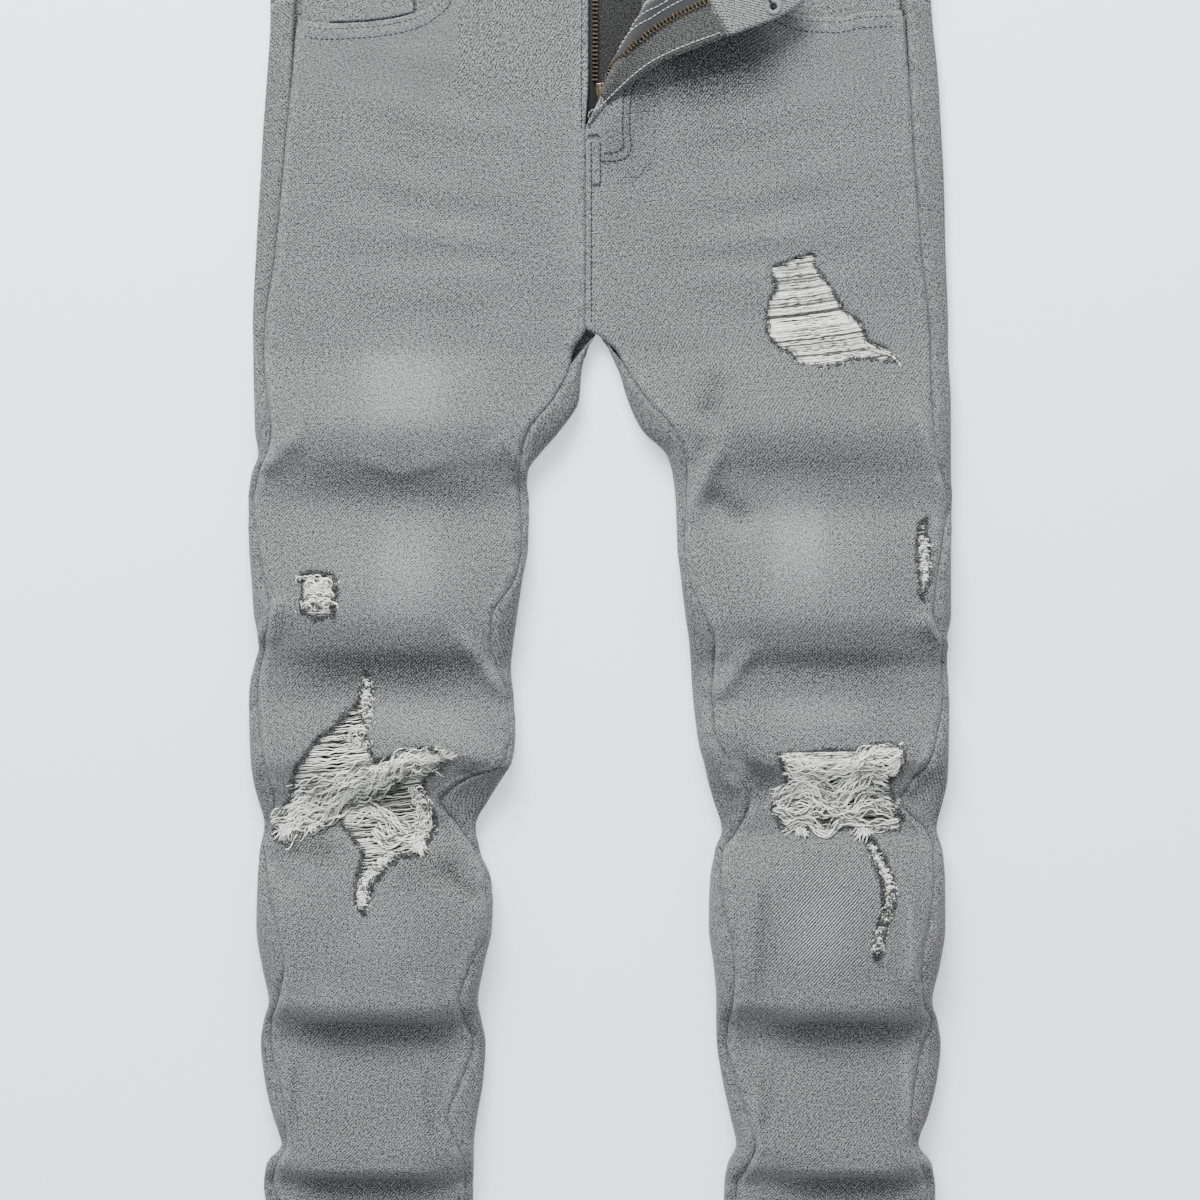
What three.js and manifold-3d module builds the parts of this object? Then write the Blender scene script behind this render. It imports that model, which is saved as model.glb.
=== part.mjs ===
// Ripped grey jeans laid flat, front up, with the fly open and its left flap turned out.
// Millimetres. +X is towards the wearer's left, +Y towards the waist, +Z up off the table.
import * as THREE from 'three';
import { mergeVertices } from 'three/addons/utils/BufferGeometryUtils.js';
import Module from 'manifold-3d';

const wasm = await Module();
wasm.setup();

// ---- driving dimensions ----
const CLOTH = 1.2; // one layer of denim
const FACING = 1.0; // pocket facing, fly facing, zip tape and hem turning
const BAND = 2.4; // waistband, two layers and its interlining
const SHIELD = 1.6; // fly shield, folded double
const GAP = 0.3; // between pieces that touch
const WAIST_SEAM = 365; // y of the seam under the waistband
const BAND_WIDTH = 49;
const WAIST_TOP = WAIST_SEAM + BAND_WIDTH;
const CROTCH = 139; // y where the two front inseams meet
const HEM = -414;
const HEM_TURNING = 14;
const FRONT_RISE_X = -8.7; // centre-front seam
const TABLE_LAYER = 0.7; // middle of a wall that rests on the table
const BACK_LAYER = 2.2; // middle of the seat, which lies on the back pockets
const POCKET_MOUTH_X = 85; // where each pocket mouth meets the waist seam, from the middle
const YOKE_SIDE = 338;
const YOKE_CENTRE = 300;

// The fly opens at FLY_END. Above it the left front turns over a line at FOLD_ANGLE.
const FLY_END = new THREE.Vector2(FRONT_RISE_X, 255.6);
const FOLD_ANGLE = Math.PI / 3;
const ROLL_START = 3; // radius of the turned edge at the fly's end
const ROLL_FULL = 4.4; // and further up
const ROLL_GROWS = 60; // distance along the fold over which it opens out
const SLIDER_X = 1.8;
const PULL_PIVOT_Y = 282;
const PULL_PIVOT_Z = 9.9;
const CHAIN_WIDTH = 3.9;
const CHAIN_DEPTH = 2.4;

// Each leg's sections: y, then distances out from the middle of the outer fold, the outseam,
// the front's inner seam and the inner fold, then the height of the front over the table.
const RIGHT_SECTIONS = [
  [365, 197, 181, 7.2, 2.15, 7.5], [324, 197, 183, 7.2, 2.15, 7.5], [290, 199, 184.5, 7.2, 2.15, 7.5],
  [272, 200, 186, 8, 2.15, 7.5], [256, 201.5, 187.5, 8.85, 2.15, 7.5], [228, 203, 190, 8.85, 2.15, 7.5],
  [186, 205.5, 194, 8.85, 2.15, 7.5],
  [139, 207.5, 200.5, 8.85, 2.15, 9], [132.5, 207.3, 200.8, 12, 4.5, 9.5],
  [126, 207, 201, 16, 8, 10], [114, 207, 200.5, 18.5, 11.5, 13],
  [96, 206.5, 198.5, 28, 13, 18], [78, 206, 196, 42, 24, 22], [63, 204, 198, 47.5, 37, 20],
  [51, 208, 204, 49.5, 45, 17], [33, 209.5, 207, 47.5, 43.5, 13], [9, 209.5, 204, 46.5, 44, 18],
  [-33, 206.5, 196, 64, 50, 27], [-51, 203, 199.5, 65.5, 52.5, 23],
  [-66, 207, 203, 62, 54, 17], [-81, 209.5, 204.5, 56, 53, 14],
  [-120, 208.5, 200, 57, 53, 24], [-132, 207, 197, 83, 60, 20], [-144, 204, 194, 95.5, 67.5, 15],
  [-159, 200, 198, 85, 75, 13], [-174, 203, 201, 75, 73, 17],
  [-219, 205, 192, 67.5, 65.5, 28], [-243, 201.5, 188, 77.5, 70, 30],
  [-264, 197.5, 192, 84, 73.5, 30], [-275, 200.5, 196, 81, 71.5, 23],
  [-289, 202.5, 196.5, 76, 69, 15], [-333, 195, 187, 91, 74, 22],
  [-350, 189.5, 187.5, 85, 76, 24], [-361, 199, 193, 81, 76, 23], [-373, 200.5, 195.5, 80.5, 77, 16],
  [-400, 197, 187, 82, 77, 13], [HEM, 196, 188, 82, 77, 14],
];
const LEFT_SECTIONS = [
  [365, 196, 182, -8.55, -1.85, 7.5], [345, 197, 183, -8.55, -1.85, 7.5],
  [324, 198.5, 183.5, -8.55, -1.85, 7.5], [307, 200, 184.5, -8.55, -1.85, 7.5],
  [290, 202, 185.5, -8.55, -1.85, 7.5], [278, 203, 186, -8.55, -1.85, 7.5],
  [267, 203.5, 187, -8.55, -1.85, 7.5], [256, 204, 187.5, -8.55, -1.85, 7.5],
  [228, 205.5, 189.5, -8.55, -1.85, 7.5], [186, 206.5, 192.5, -8.55, -1.85, 7.5],
  [139, 208, 197.5, -8.55, -1.85, 9], [132.5, 208, 197.8, 0, 2, 9.5],
  [126, 208, 198, 9, 6, 10], [114, 208.5, 198, 16, 11.5, 13], [96, 209.5, 198.5, 28, 17, 17],
  [78, 209.5, 199, 44.5, 25.5, 20], [63, 209.5, 200, 51, 40.5, 18], [51, 209.5, 203, 52.5, 44, 15],
  [33, 209.5, 207.5, 52.5, 46, 14], [9, 209.5, 204.5, 50.5, 47, 20],
  [-33, 209.5, 199, 62.5, 51.5, 26], [-51, 206.5, 203, 69, 54, 21], [-66, 207, 204.5, 68.5, 55, 15],
  [-81, 208, 205.5, 67.5, 56, 15], [-120, 208, 197, 76, 62.5, 23],
  [-132, 207.5, 186.5, 83, 65, 18], [-144, 205, 179, 90, 68.5, 14], [-162, 201, 195, 82, 73.5, 13],
  [-174, 204.5, 199, 73.5, 69.5, 18],
  [-219, 206, 195.5, 77, 65.5, 29], [-243, 202.5, 191, 80.5, 68.5, 31],
  [-264, 198, 192, 79.5, 70, 30], [-275, 201, 198, 77, 70, 22], [-289, 203.5, 193, 76, 70.5, 15],
  [-333, 195.5, 185, 88, 78.5, 22], [-350, 189.5, 187.5, 93, 82, 24],
  [-361, 198, 191, 89, 77, 23], [-373, 199.5, 196, 82, 75, 16], [-400, 200, 193, 81.5, 74.5, 13],
  [HEM, 199, 192, 82, 75, 14],
];

// Pocket mouths, outseam first, as distance out from the middle and y.
const RIGHT_MOUTH = [[183, 324], [164, 321], [145, 321.6], [124, 324], [104, 330], [95, 337],
  [89, 348], [POCKET_MOUTH_X, WAIST_SEAM]];
const LEFT_MOUTH = [[183, 329], [158, 328], [142, 325], [121, 326], [105, 332], [96, 340],
  [90, 351], [POCKET_MOUTH_X, WAIST_SEAM]];

// Rips, as x, y outlines round the bared weft threads.
const RIPS = {
  thigh_left: [[103, 175], [128, 184], [129, 175], [135, 168], [146, 149], [156, 142], [160, 131],
    [170, 128], [178, 119], [149, 121], [119, 117], [108, 127], [100, 138], [101, 155], [106, 163]],
  side_left: [[196, 26], [198, 8], [197, -14], [191, -22], [190, 4], [191, 20]],
  knee_left: [[106, -116], [158, -114], [174, -110], [182, -114], [181, -122], [171, -134],
    [181, -155], [178, -162], [153, -158], [140, -164], [110, -161], [103, -149], [111, -131]],
  shin_left: [[157, -165], [164, -168], [174, -191], [174, -204], [166, -236], [163, -222],
    [168, -198]],
  thigh_right: [[-178, -8], [-158, -8], [-158, -34], [-178, -34]],
  knee_right: [[-140, -66], [-147, -88], [-166, -104], [-182, -125], [-194, -162], [-172, -164],
    [-158, -155], [-141, -175], [-145, -194], [-140, -212], [-134, -190], [-119, -176],
    [-103, -169], [-99, -152], [-106, -138], [-90, -119], [-107, -112], [-135, -118], [-141, -103],
    [-137, -80]],
};

// ---- colours ----
const finish = (color, roughness, metalness = 0) =>
  new THREE.MeshStandardMaterial({ color, roughness, metalness, side: THREE.DoubleSide });
const denim = () => finish('#8f9091', 0.95);
const denimInside = () => finish('#9a9b9c', 0.95);
const threads = () => finish('#e6e6de', 1);
const tape = () => finish('#2a2a2b', 0.9);
const brass = () => finish('#8c7a55', 0.45, 0.9);

// ---- small helpers ----
const clamp01 = (v) => Math.min(1, Math.max(0, v));
const smooth = (v) => clamp01(v) ** 2 * (3 - 2 * clamp01(v));
const mix = (a, b, k) => a + (b - a) * k;
const steps = (from, to, count) =>
  Array.from({ length: count + 1 }, (_, i) => mix(from, to, i / count));

// The value of a straight-line table at v; its keys may rise or fall.
function along(table, v, column = 1) {
  const rising = table[0][0] < table[table.length - 1][0];
  const rows = rising ? table : [...table].reverse();
  if (v <= rows[0][0]) return rows[0][column];
  for (let i = 1; i < rows.length; i++) {
    const [a, b] = [rows[i - 1], rows[i]];
    if (v <= b[0]) return mix(a[column], b[column], (v - a[0]) / (b[0] - a[0]));
  }
  return rows[rows.length - 1][column];
}

// A closed wall round a grid of spots: half its thickness to each side, along their normals.
function wall(grid, thickness, closedAcross = false) {
  const rows = grid.length;
  const columns = grid[0].length;
  const positions = [];
  for (const side of [1, -1]) {
    for (const spot of grid.flat()) positions.push(...lifted(spot, (side * thickness) / 2).at);
  }
  const id = (layer, r, c) => (layer * rows + r) * columns + (c % columns);
  const faces = [];
  const quad = (a, b, c, d) => faces.push(a, b, c, a, c, d);
  const lastColumn = closedAcross ? columns : columns - 1;
  for (let r = 0; r < rows - 1; r++) {
    for (let c = 0; c < lastColumn; c++) {
      quad(id(0, r, c), id(0, r, c + 1), id(0, r + 1, c + 1), id(0, r + 1, c));
      quad(id(1, r, c), id(1, r + 1, c), id(1, r + 1, c + 1), id(1, r, c + 1));
    }
    if (!closedAcross) {
      const end = columns - 1;
      quad(id(0, r, 0), id(0, r + 1, 0), id(1, r + 1, 0), id(1, r, 0));
      quad(id(0, r, end), id(1, r, end), id(1, r + 1, end), id(0, r + 1, end));
    }
  }
  for (let c = 0; c < lastColumn; c++) {
    const end = rows - 1;
    quad(id(0, 0, c), id(1, 0, c), id(1, 0, c + 1), id(0, 0, c + 1));
    quad(id(0, end, c), id(0, end, c + 1), id(1, end, c + 1), id(1, end, c));
  }
  const geometry = new THREE.BufferGeometry();
  geometry.setAttribute('position', new THREE.Float32BufferAttribute(positions, 3));
  geometry.setIndex(faces);
  return facingOut(geometry);
}

// A spot is a point in the middle of the cloth with the direction that its outside faces.
function lifted(spot, lift) {
  return { at: spot.at.clone().addScaledVector(spot.normal, lift), normal: spot.normal };
}

// Six times the volume that the faces close round: negative when they point inwards.
function signedVolume(geometry) {
  const position = geometry.attributes.position;
  const corner = [new THREE.Vector3(), new THREE.Vector3(), new THREE.Vector3()];
  let sum = 0;
  for (let i = 0; i < geometry.index.count; i += 3) {
    corner.forEach((v, k) => v.fromBufferAttribute(position, geometry.index.getX(i + k)));
    sum += corner[0].dot(corner[1].clone().cross(corner[2]));
  }
  return sum;
}

function facingOut(geometry) {
  if (signedVolume(geometry) < 0) {
    const index = geometry.index;
    for (let i = 0; i < index.count; i += 3) {
      const first = index.getX(i);
      index.setX(i, index.getX(i + 1));
      index.setX(i + 1, first);
    }
  }
  geometry.computeVertexNormals();
  return geometry;
}

function toSolid(geometry) {
  const bare = geometry.clone();
  bare.deleteAttribute('normal');
  bare.deleteAttribute('uv');
  const merged = mergeVertices(bare, 1e-4);
  return new wasm.Manifold(new wasm.Mesh({
    numProp: 3,
    vertProperties: new Float32Array(merged.attributes.position.array),
    triVerts: new Uint32Array(merged.index.array),
  }));
}

function fromSolid(solid) {
  const mesh = solid.getMesh();
  const geometry = new THREE.BufferGeometry();
  geometry.setAttribute('position', new THREE.Float32BufferAttribute(mesh.vertProperties, 3));
  geometry.setIndex(Array.from(mesh.triVerts));
  geometry.computeVertexNormals();
  return geometry;
}

// A flat outline as an upright plate between two heights.
function plate(outline, bottom, top) {
  const shape = new THREE.Shape(outline.map(([x, y]) => new THREE.Vector2(x, y)));
  const geometry = new THREE.ExtrudeGeometry(shape, { depth: top - bottom, bevelEnabled: false });
  return geometry.translate(0, 0, bottom);
}

// The outline drawn in by a margin all round.
function drawnIn(outline, margin) {
  const area = THREE.ShapeUtils.area(outline.map(([x, y]) => new THREE.Vector2(x, y)));
  const outward = (a, b) => {
    const edge = new THREE.Vector2(b[0] - a[0], b[1] - a[1]).normalize();
    return new THREE.Vector2(edge.y, -edge.x).multiplyScalar(Math.sign(area));
  };
  return outline.map((corner, i) => {
    const first = outward(outline[(i + outline.length - 1) % outline.length], corner);
    const second = outward(corner, outline[(i + 1) % outline.length]);
    const miter = first.clone().add(second).divideScalar(1 + first.dot(second));
    return [corner[0] - miter.x * margin, corner[1] - miter.y * margin];
  });
}

// ---- the form of the cloth ----

// The fly's layers lift the fronts along the middle, most where they stand off the slider.
const bump = (v, middle, width) => Math.exp(-(((v - middle) / width) ** 2));
const flyLayers = (x, y) => 1.5 * bump(x, 8, 40) * smooth((y - 225) / 30)
  + 7 * bump(x, 8, 16) * bump(y, 272, 26);

// Half of the hips with its leg. side is -1 for the wearer's right and 1 for the left.
// rest gives the height of the middle of the cloth that lies underneath.
function makeLeg(side, sections, rest) {
  const value = (y, column) => along(sections, y, column);
  const legness = (y) => smooth((CROTCH - y) / 25);

  function frame(y) {
    const outer = value(y, 1);
    const crown = value(y, 5);
    const half = (outer - value(y, 4)) / 2;
    return { outer, crown, half, middle: outer - half, fold: Math.min(0.62 * crown, 2 + 0.22 * crown) };
  }

  // turn 0 is the outer fold, a quarter turn the top, a half turn the inner fold, and the
  // cloth underneath has turns below 0. out places it exactly, even past the inner fold.
  function point(turn, y, out) {
    const { half, middle, crown, fold } = frame(y);
    const x = side * (out ?? middle + half * Math.cos(turn));
    const rise = Math.abs(Math.sin(turn));
    const flat = Math.cos(turn) < 0 ? 1 - legness(y) : 0;
    if (Math.sin(turn) >= 0) {
      return new THREE.Vector3(x, y, mix(fold, crown + flyLayers(x, y), mix(rise ** 0.55, 1, flat)));
    }
    const resting = Math.min(1, 1.15 * Math.sqrt(rise));
    return new THREE.Vector3(x, y, mix(fold, rest(y), mix(resting, 1, flat)));
  }

  function spot(turn, y, out) {
    const small = 0.004;
    const at = point(turn, y, out);
    const around = point(turn + small, y).sub(point(turn - small, y));
    const down = point(turn, y - 1).sub(point(turn, y + 1));
    const normal = around.cross(down).normalize().multiplyScalar(side);
    return { at, normal };
  }

  const turnAt = (out, y) => {
    const { middle, half } = frame(y);
    return Math.acos(Math.min(0.9998, Math.max(-0.9998, (out - middle) / half)));
  };
  const outseam = (y) => Math.min(value(y, 2), value(y, 1) - 1.5);
  const innerSeam = (y) => (legness(y) > 0
    ? Math.max(value(y, 3), value(y, 4) + 1.2 * legness(y)) : value(y, 3));
  const onTop = (out, y) => spot(turnAt(out, y), y, out);
  return { side, value, spot, outseam, innerSeam, legness, frame, turnAt, onTop };
}

const underHips = (y) => mix(BACK_LAYER, TABLE_LAYER, smooth((200 - y) / 40));
const rightLeg = makeLeg(-1, RIGHT_SECTIONS, underHips);
const leftLeg = makeLeg(1, LEFT_SECTIONS, underHips);

// The fold line's direction, and the direction across it towards the fly.
const FOLD_UP = new THREE.Vector3(Math.cos(FOLD_ANGLE), Math.sin(FOLD_ANGLE), 0);
const FOLD_ACROSS = new THREE.Vector3(-FOLD_UP.y, FOLD_UP.x, 0);
const flyEnd = new THREE.Vector3(FLY_END.x, FLY_END.y, 0);

// Where a spot of the flat left front goes. Past the fold line the cloth rolls over
// and lies back on the panel, inside out.
function turnedOut({ at, normal }) {
  const from = new THREE.Vector3(at.x, at.y, 0).sub(flyEnd);
  const past = from.dot(FOLD_ACROSS);
  const run = from.dot(FOLD_UP);
  if (past <= 0 || run <= 0) return { at, normal };
  const radius = mix(ROLL_START, ROLL_FULL, smooth(run / ROLL_GROWS));
  const angle = Math.min(Math.PI, past / radius);
  const beyond = Math.max(0, past - Math.PI * radius);
  const place = flyEnd.clone().addScaledVector(FOLD_UP, run);
  place.addScaledVector(FOLD_ACROSS, radius * Math.sin(angle) - beyond);
  place.z = at.z + radius * (1 - Math.cos(angle));
  const facing = FOLD_ACROSS.clone().multiplyScalar(-Math.sin(angle)).setZ(Math.cos(angle));
  return { at: place, normal: facing };
}

// The same from a distance along the fold line and a distance past it.
function besideFold(run, past, lift) {
  const flat = flyEnd.clone().addScaledVector(FOLD_UP, run).addScaledVector(FOLD_ACROSS, past);
  const height = leftLeg.frame(flat.y).crown + flyLayers(flat.x, flat.y);
  const spot = { at: flat.setZ(height), normal: new THREE.Vector3(0, 0, 1) };
  return lifted(turnedOut(spot), lift);
}

// ---- panels ----

const parts = new THREE.Group();
function add(name, geometry, material) {
  const mesh = new THREE.Mesh(geometry, material);
  mesh.name = name;
  parts.add(mesh);
  return mesh;
}

function rowsBetween(sections, top, bottom, margin = 6) {
  const inside = sections.map((row) => row[0]).filter((y) => y < top - margin && y > bottom + margin);
  return [top, ...inside, bottom];
}

// A front: its columns run from the outseam to the inner seam, its top follows the pocket mouth.
function frontGrid(leg, sections, mouth, shares) {
  const shoulder = 276;
  return rowsBetween(sections, WAIST_SEAM, HEM).map((y) => shares.map((share) => {
    const out = mix(leg.outseam(y), leg.innerSeam(y), share);
    const top = out > POCKET_MOUTH_X ? along(mouth, out) : WAIST_SEAM;
    const reach = (y - shoulder) / (WAIST_SEAM - shoulder);
    return leg.onTop(out, y > shoulder ? mix(shoulder, top, reach) : y);
  }));
}

// The turns of a back at y: down round the outer fold, along underneath, up round the inner one.
const SEAT_TURNS = [0.85, 1.2, 1.6, 1.95, 2.25, 2.55, 2.82, Math.PI - 0.04];
const LEG_TURNS = [0.85, 1.3, 1.75, 2.2, 2.7, Math.PI - 0.06];
function backTurns(leg, y) {
  const tail = leg.legness(y);
  const start = leg.turnAt(leg.outseam(y) + GAP, y);
  const up = Math.PI - leg.turnAt(leg.innerSeam(y) - GAP, y);
  const inLeg = [...LEG_TURNS, Math.PI + up * 0.45, Math.PI + up];
  const under = SEAT_TURNS.map((turn, i) => -mix(turn, inLeg[i], tail));
  return [start, start * 0.45, 0, -0.42, ...under];
}

// A band of the back between two heights, each a function of the share from outseam to middle.
function backGrid(leg, rows, topAt, bottomAt) {
  return rows.map((y, r) => {
    const turns = backTurns(leg, y);
    return turns.map((turn, c) => {
      const share = c / (turns.length - 1);
      if (r === 0) return leg.spot(turn, topAt(share));
      return leg.spot(turn, r === rows.length - 1 ? bottomAt(share) : y);
    });
  });
}

function addFront(name, grid, rips) {
  let solid = toSolid(wall(grid, CLOTH));
  const [below, above] = [3.5, 60];
  for (const rip of rips) {
    const bared = toSolid(plate(drawnIn(RIPS[rip], GAP), below, above));
    add(`threads_${rip}`, fromSolid(solid.intersect(bared)), threads());
  }
  for (const rip of rips) solid = solid.subtract(toSolid(plate(RIPS[rip], below, above)));
  add(name, fromSolid(solid), denim());
}

const RIGHT_SHARES = [0, 0.12, 0.25, 0.37, 0.494, 0.563, 0.7, 0.85, 1];
const LEFT_SHARES = [0, 0.16, 0.32, 0.45, 0.57, 0.67, 0.74, 0.785, 0.83, 0.875, 0.915, 0.957, 1];
const rightFront = frontGrid(rightLeg, RIGHT_SECTIONS, RIGHT_MOUTH, RIGHT_SHARES);
const leftFlat = frontGrid(leftLeg, LEFT_SECTIONS, LEFT_MOUTH, LEFT_SHARES);
const leftFront = leftFlat.map((row) => row.map(turnedOut));
addFront('front_right', rightFront, ['thigh_right', 'knee_right']);
addFront('front_left', leftFront, ['thigh_left', 'side_left', 'knee_left', 'shin_left']);

const yokeSeam = (share) => mix(YOKE_SIDE, YOKE_CENTRE, share);
for (const [name, leg, sections] of [
  ['right', rightLeg, RIGHT_SECTIONS], ['left', leftLeg, LEFT_SECTIONS],
]) {
  const rows = rowsBetween(sections, YOKE_CENTRE - 1, HEM);
  add(`back_${name}`, wall(backGrid(leg, rows, yokeSeam, () => HEM), CLOTH), denim());
  const yokeRows = [WAIST_SEAM, 352, YOKE_SIDE];
  const yokeFoot = (share) => yokeSeam(share) + GAP;
  add(`yoke_${name}`, wall(backGrid(leg, yokeRows, () => WAIST_SEAM, yokeFoot), CLOTH), denim());
}

// ---- pockets ----

// Pocket facings lie behind the mouths, under the fronts.
function facingGrid(leg, mouth) {
  const outs = steps(leg.outseam(WAIST_SEAM) - 4, POCKET_MOUTH_X - 8, 8);
  const lift = -(CLOTH / 2 + GAP + FACING / 2);
  return [0, 0.5, 1].map((share) => outs.map((out) => {
    const foot = Math.min(along(mouth, out), WAIST_SEAM - 16) - 14;
    return lifted(leg.onTop(out, mix(WAIST_SEAM - 0.5, foot, share)), lift);
  }));
}
add('pocket_facing_right', wall(facingGrid(rightLeg, RIGHT_MOUTH), FACING), denim());
add('pocket_facing_left', wall(facingGrid(leftLeg, LEFT_MOUTH), FACING), denim());

// The coin pocket is sewn on the right facing and shows above the mouth.
const coinGrid = [352, 0].map((top) => steps(162, 112, 4).map((out) => {
  const foot = along(RIGHT_MOUTH, out) + 4 * GAP;
  return rightLeg.onTop(out, top || foot);
}));
add('coin_pocket', wall(coinGrid, FACING), denim());

// Back pockets lie on the table, flat, with a pointed foot.
const BACK_POCKET = { near: 42, far: 142, top: 305, side: 222, tip: 206, depth: 1.2 };
for (const [name, side] of [['right', -1], ['left', 1]]) {
  const { near, far, top, tip, depth } = BACK_POCKET;
  const outline = [[near, top], [far, top + 6], [far - 4, BACK_POCKET.side],
    [(near + far) / 2, tip], [near + 4, BACK_POCKET.side]];
  add(`back_pocket_${name}`, plate(outline.map(([x, y]) => [side * x, y]), 0, depth), denim());
}

// ---- hems ----

// The turning inside each leg's end, a ring made from the panels' own points, moved in.
function hemGrid(leg, frontShares) {
  const inset = CLOTH / 2 + GAP + FACING / 2;
  return [HEM + HEM_TURNING, HEM + GAP].map((y) => {
    const front = frontShares.slice(1, -1).reverse();
    const outs = front.map((share) => mix(leg.outseam(y), leg.innerSeam(y), share));
    const round = [...backTurns(leg, y), ...outs.map((out) => leg.turnAt(out, y))];
    return round.map((turn) => lifted(leg.spot(turn, y), -inset));
  });
}
add('hem_right', wall(hemGrid(rightLeg, RIGHT_SHARES), FACING, true), denim());
add('hem_left', wall(hemGrid(leftLeg, LEFT_SHARES), FACING, true), denim());

// ---- waistband ----

const LOOP_DEPTH = 1.2;
const BAND_REST = GAP + LOOP_DEPTH + BAND / 2; // over the back belt loops
const bandSections = (outer, inner, back) => [
  [WAIST_TOP, outer - 1, 0, inner, back, 8.6], [WAIST_SEAM, outer, 0, inner, back, 8.6],
];
const rightBand = makeLeg(-1, bandSections(197, 7.2, 2), () => BAND_REST);
const leftBand = makeLeg(1, bandSections(196, -8.55, -2), () => BAND_REST);

function bandRow(y) {
  const underneath = [-0.45, -0.85, -1.4, -2, -2.6];
  const right = [...steps(7.2, 170, 5).map((out) => rightBand.turnAt(out, y)), 0.35, 0];
  const left = [0, 0.35, ...steps(170, 88, 2).map((out) => leftBand.turnAt(out, y))];
  const flap = steps(80, -8.55, 22);
  return [
    ...right.map((turn) => rightBand.spot(turn, y)),
    ...underneath.map((turn) => rightBand.spot(turn, y)),
    leftBand.spot(-Math.PI + 0.04, y),
    ...underneath.reverse().map((turn) => leftBand.spot(turn, y)),
    ...left.map((turn) => leftBand.spot(turn, y)),
    ...flap.map((out) => turnedOut(leftBand.onTop(out, y))),
  ];
}
const bandWall = wall([WAIST_TOP, (WAIST_TOP + WAIST_SEAM) / 2, WAIST_SEAM + GAP].map(bandRow), BAND);

// The buttonhole: a round eye and a slot, through the turned-out end of the band.
const BUTTONHOLE = { eye: new THREE.Vector2(103.2, 330.6), radius: 3, slot: 16, width: 3 };
function buttonholeOutline() {
  const { eye, radius, slot, width } = BUTTONHOLE;
  const away = 2 * FOLD_ANGLE; // up the band, square to the flap's free edge
  const opening = Math.asin(width / 2 / radius);
  const round = steps(away + opening, away + 2 * Math.PI - opening, 10).map((angle) => [
    eye.x + radius * Math.cos(angle), eye.y + radius * Math.sin(angle)]);
  const end = [slot * Math.cos(away), slot * Math.sin(away)];
  const [first, last] = [round[0], round[round.length - 1]];
  return [...round, [last[0] + end[0], last[1] + end[1]], [first[0] + end[0], first[1] + end[1]]];
}
const holeThrough = toSolid(plate(buttonholeOutline(), 12, 30));
add('waistband', fromSolid(toSolid(bandWall).subtract(holeThrough)), denim());

// Belt loops: two in front, and three behind that lie on the table.
const LOOP = { width: 11, top: WAIST_TOP - 1, foot: WAIST_SEAM + 1.5 };
for (const [name, x, bottom] of [
  ['front_right', -112, 10.5], ['front_left', 118, 10.5],
  ['back_right', -118, 0], ['back_middle', -2, 0], ['back_left', 114, 0],
]) {
  const { width, top, foot } = LOOP;
  const [near, far] = [x - width / 2, x + width / 2];
  const outline = [[near, foot], [far, foot], [far, top], [near, top]];
  add(`belt_loop_${name}`, plate(outline, bottom, bottom + LOOP_DEPTH), denim());
}

// A shank button near the right end of the band.
const BUTTON = { x: -17, y: WAIST_SEAM + BAND_WIDTH / 2, radius: 8.5, foot: 11.6 };
const buttonProfile = [[0, 0], [3, 0], [3, 1.6], [8, 1.6], [8.5, 2.3], [8, 3.2], [5, 4], [0, 4.2]];
const buttonShape = new THREE.LatheGeometry(buttonProfile.map(([r, z]) => new THREE.Vector2(r, z)), 14);
buttonShape.rotateX(Math.PI / 2);
add('button', fromSolid(toSolid(buttonShape.translate(BUTTON.x, BUTTON.y, BUTTON.foot))), brass());

// ---- fly and zip ----

// The shield is folded double under the right edge and closes the opening from behind.
const SHIELD_MIDDLE = BACK_LAYER + CLOTH / 2 + GAP + SHIELD / 2;
const shieldOutline = [[-20, 364.5], [-20, 262], [4, 236], [18, 246], [26, 264], [28, 364.5]];
const [shieldBottom, shieldTop] = [SHIELD_MIDDLE - SHIELD / 2, SHIELD_MIDDLE + SHIELD / 2];
add('fly_shield', plate(shieldOutline, shieldBottom, shieldTop), denim());

// The right tape is sewn between the shield and the right front, with its chain at its edge.
const TAPE_BOTTOM = shieldTop + GAP;
const RIGHT_TAPE = { far: -17, near: -4.5, top: 364.5, foot: 262 };
const strip = ({ far, near, top, foot }) => [[far, foot], [near, foot], [near, top], [far, top]];
add('zip_tape_right', plate(strip(RIGHT_TAPE), TAPE_BOTTOM, TAPE_BOTTOM + FACING), tape());
const RIGHT_CHAIN = { far: -4.2, near: -4.2 + CHAIN_WIDTH, top: 364.5, foot: 286.6 };
const chainBottom = TAPE_BOTTOM + 0.1;
add('zip_teeth_right', plate(strip(RIGHT_CHAIN), chainBottom, chainBottom + CHAIN_DEPTH), brass());

// The facing backs the left front's edge, so it lies uppermost where the flap is turned out.
// It is made from the panel's own points, moved to its inside.
const FLY_FACING_LIFT = -(CLOTH / 2 + GAP + FACING / 2);
const facingRows = leftFront.slice(0, 6).map((row) =>
  row.slice(-6).map((spot) => lifted(spot, FLY_FACING_LIFT)));
add('fly_facing', wall(facingRows, FACING), denimInside());

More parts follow.
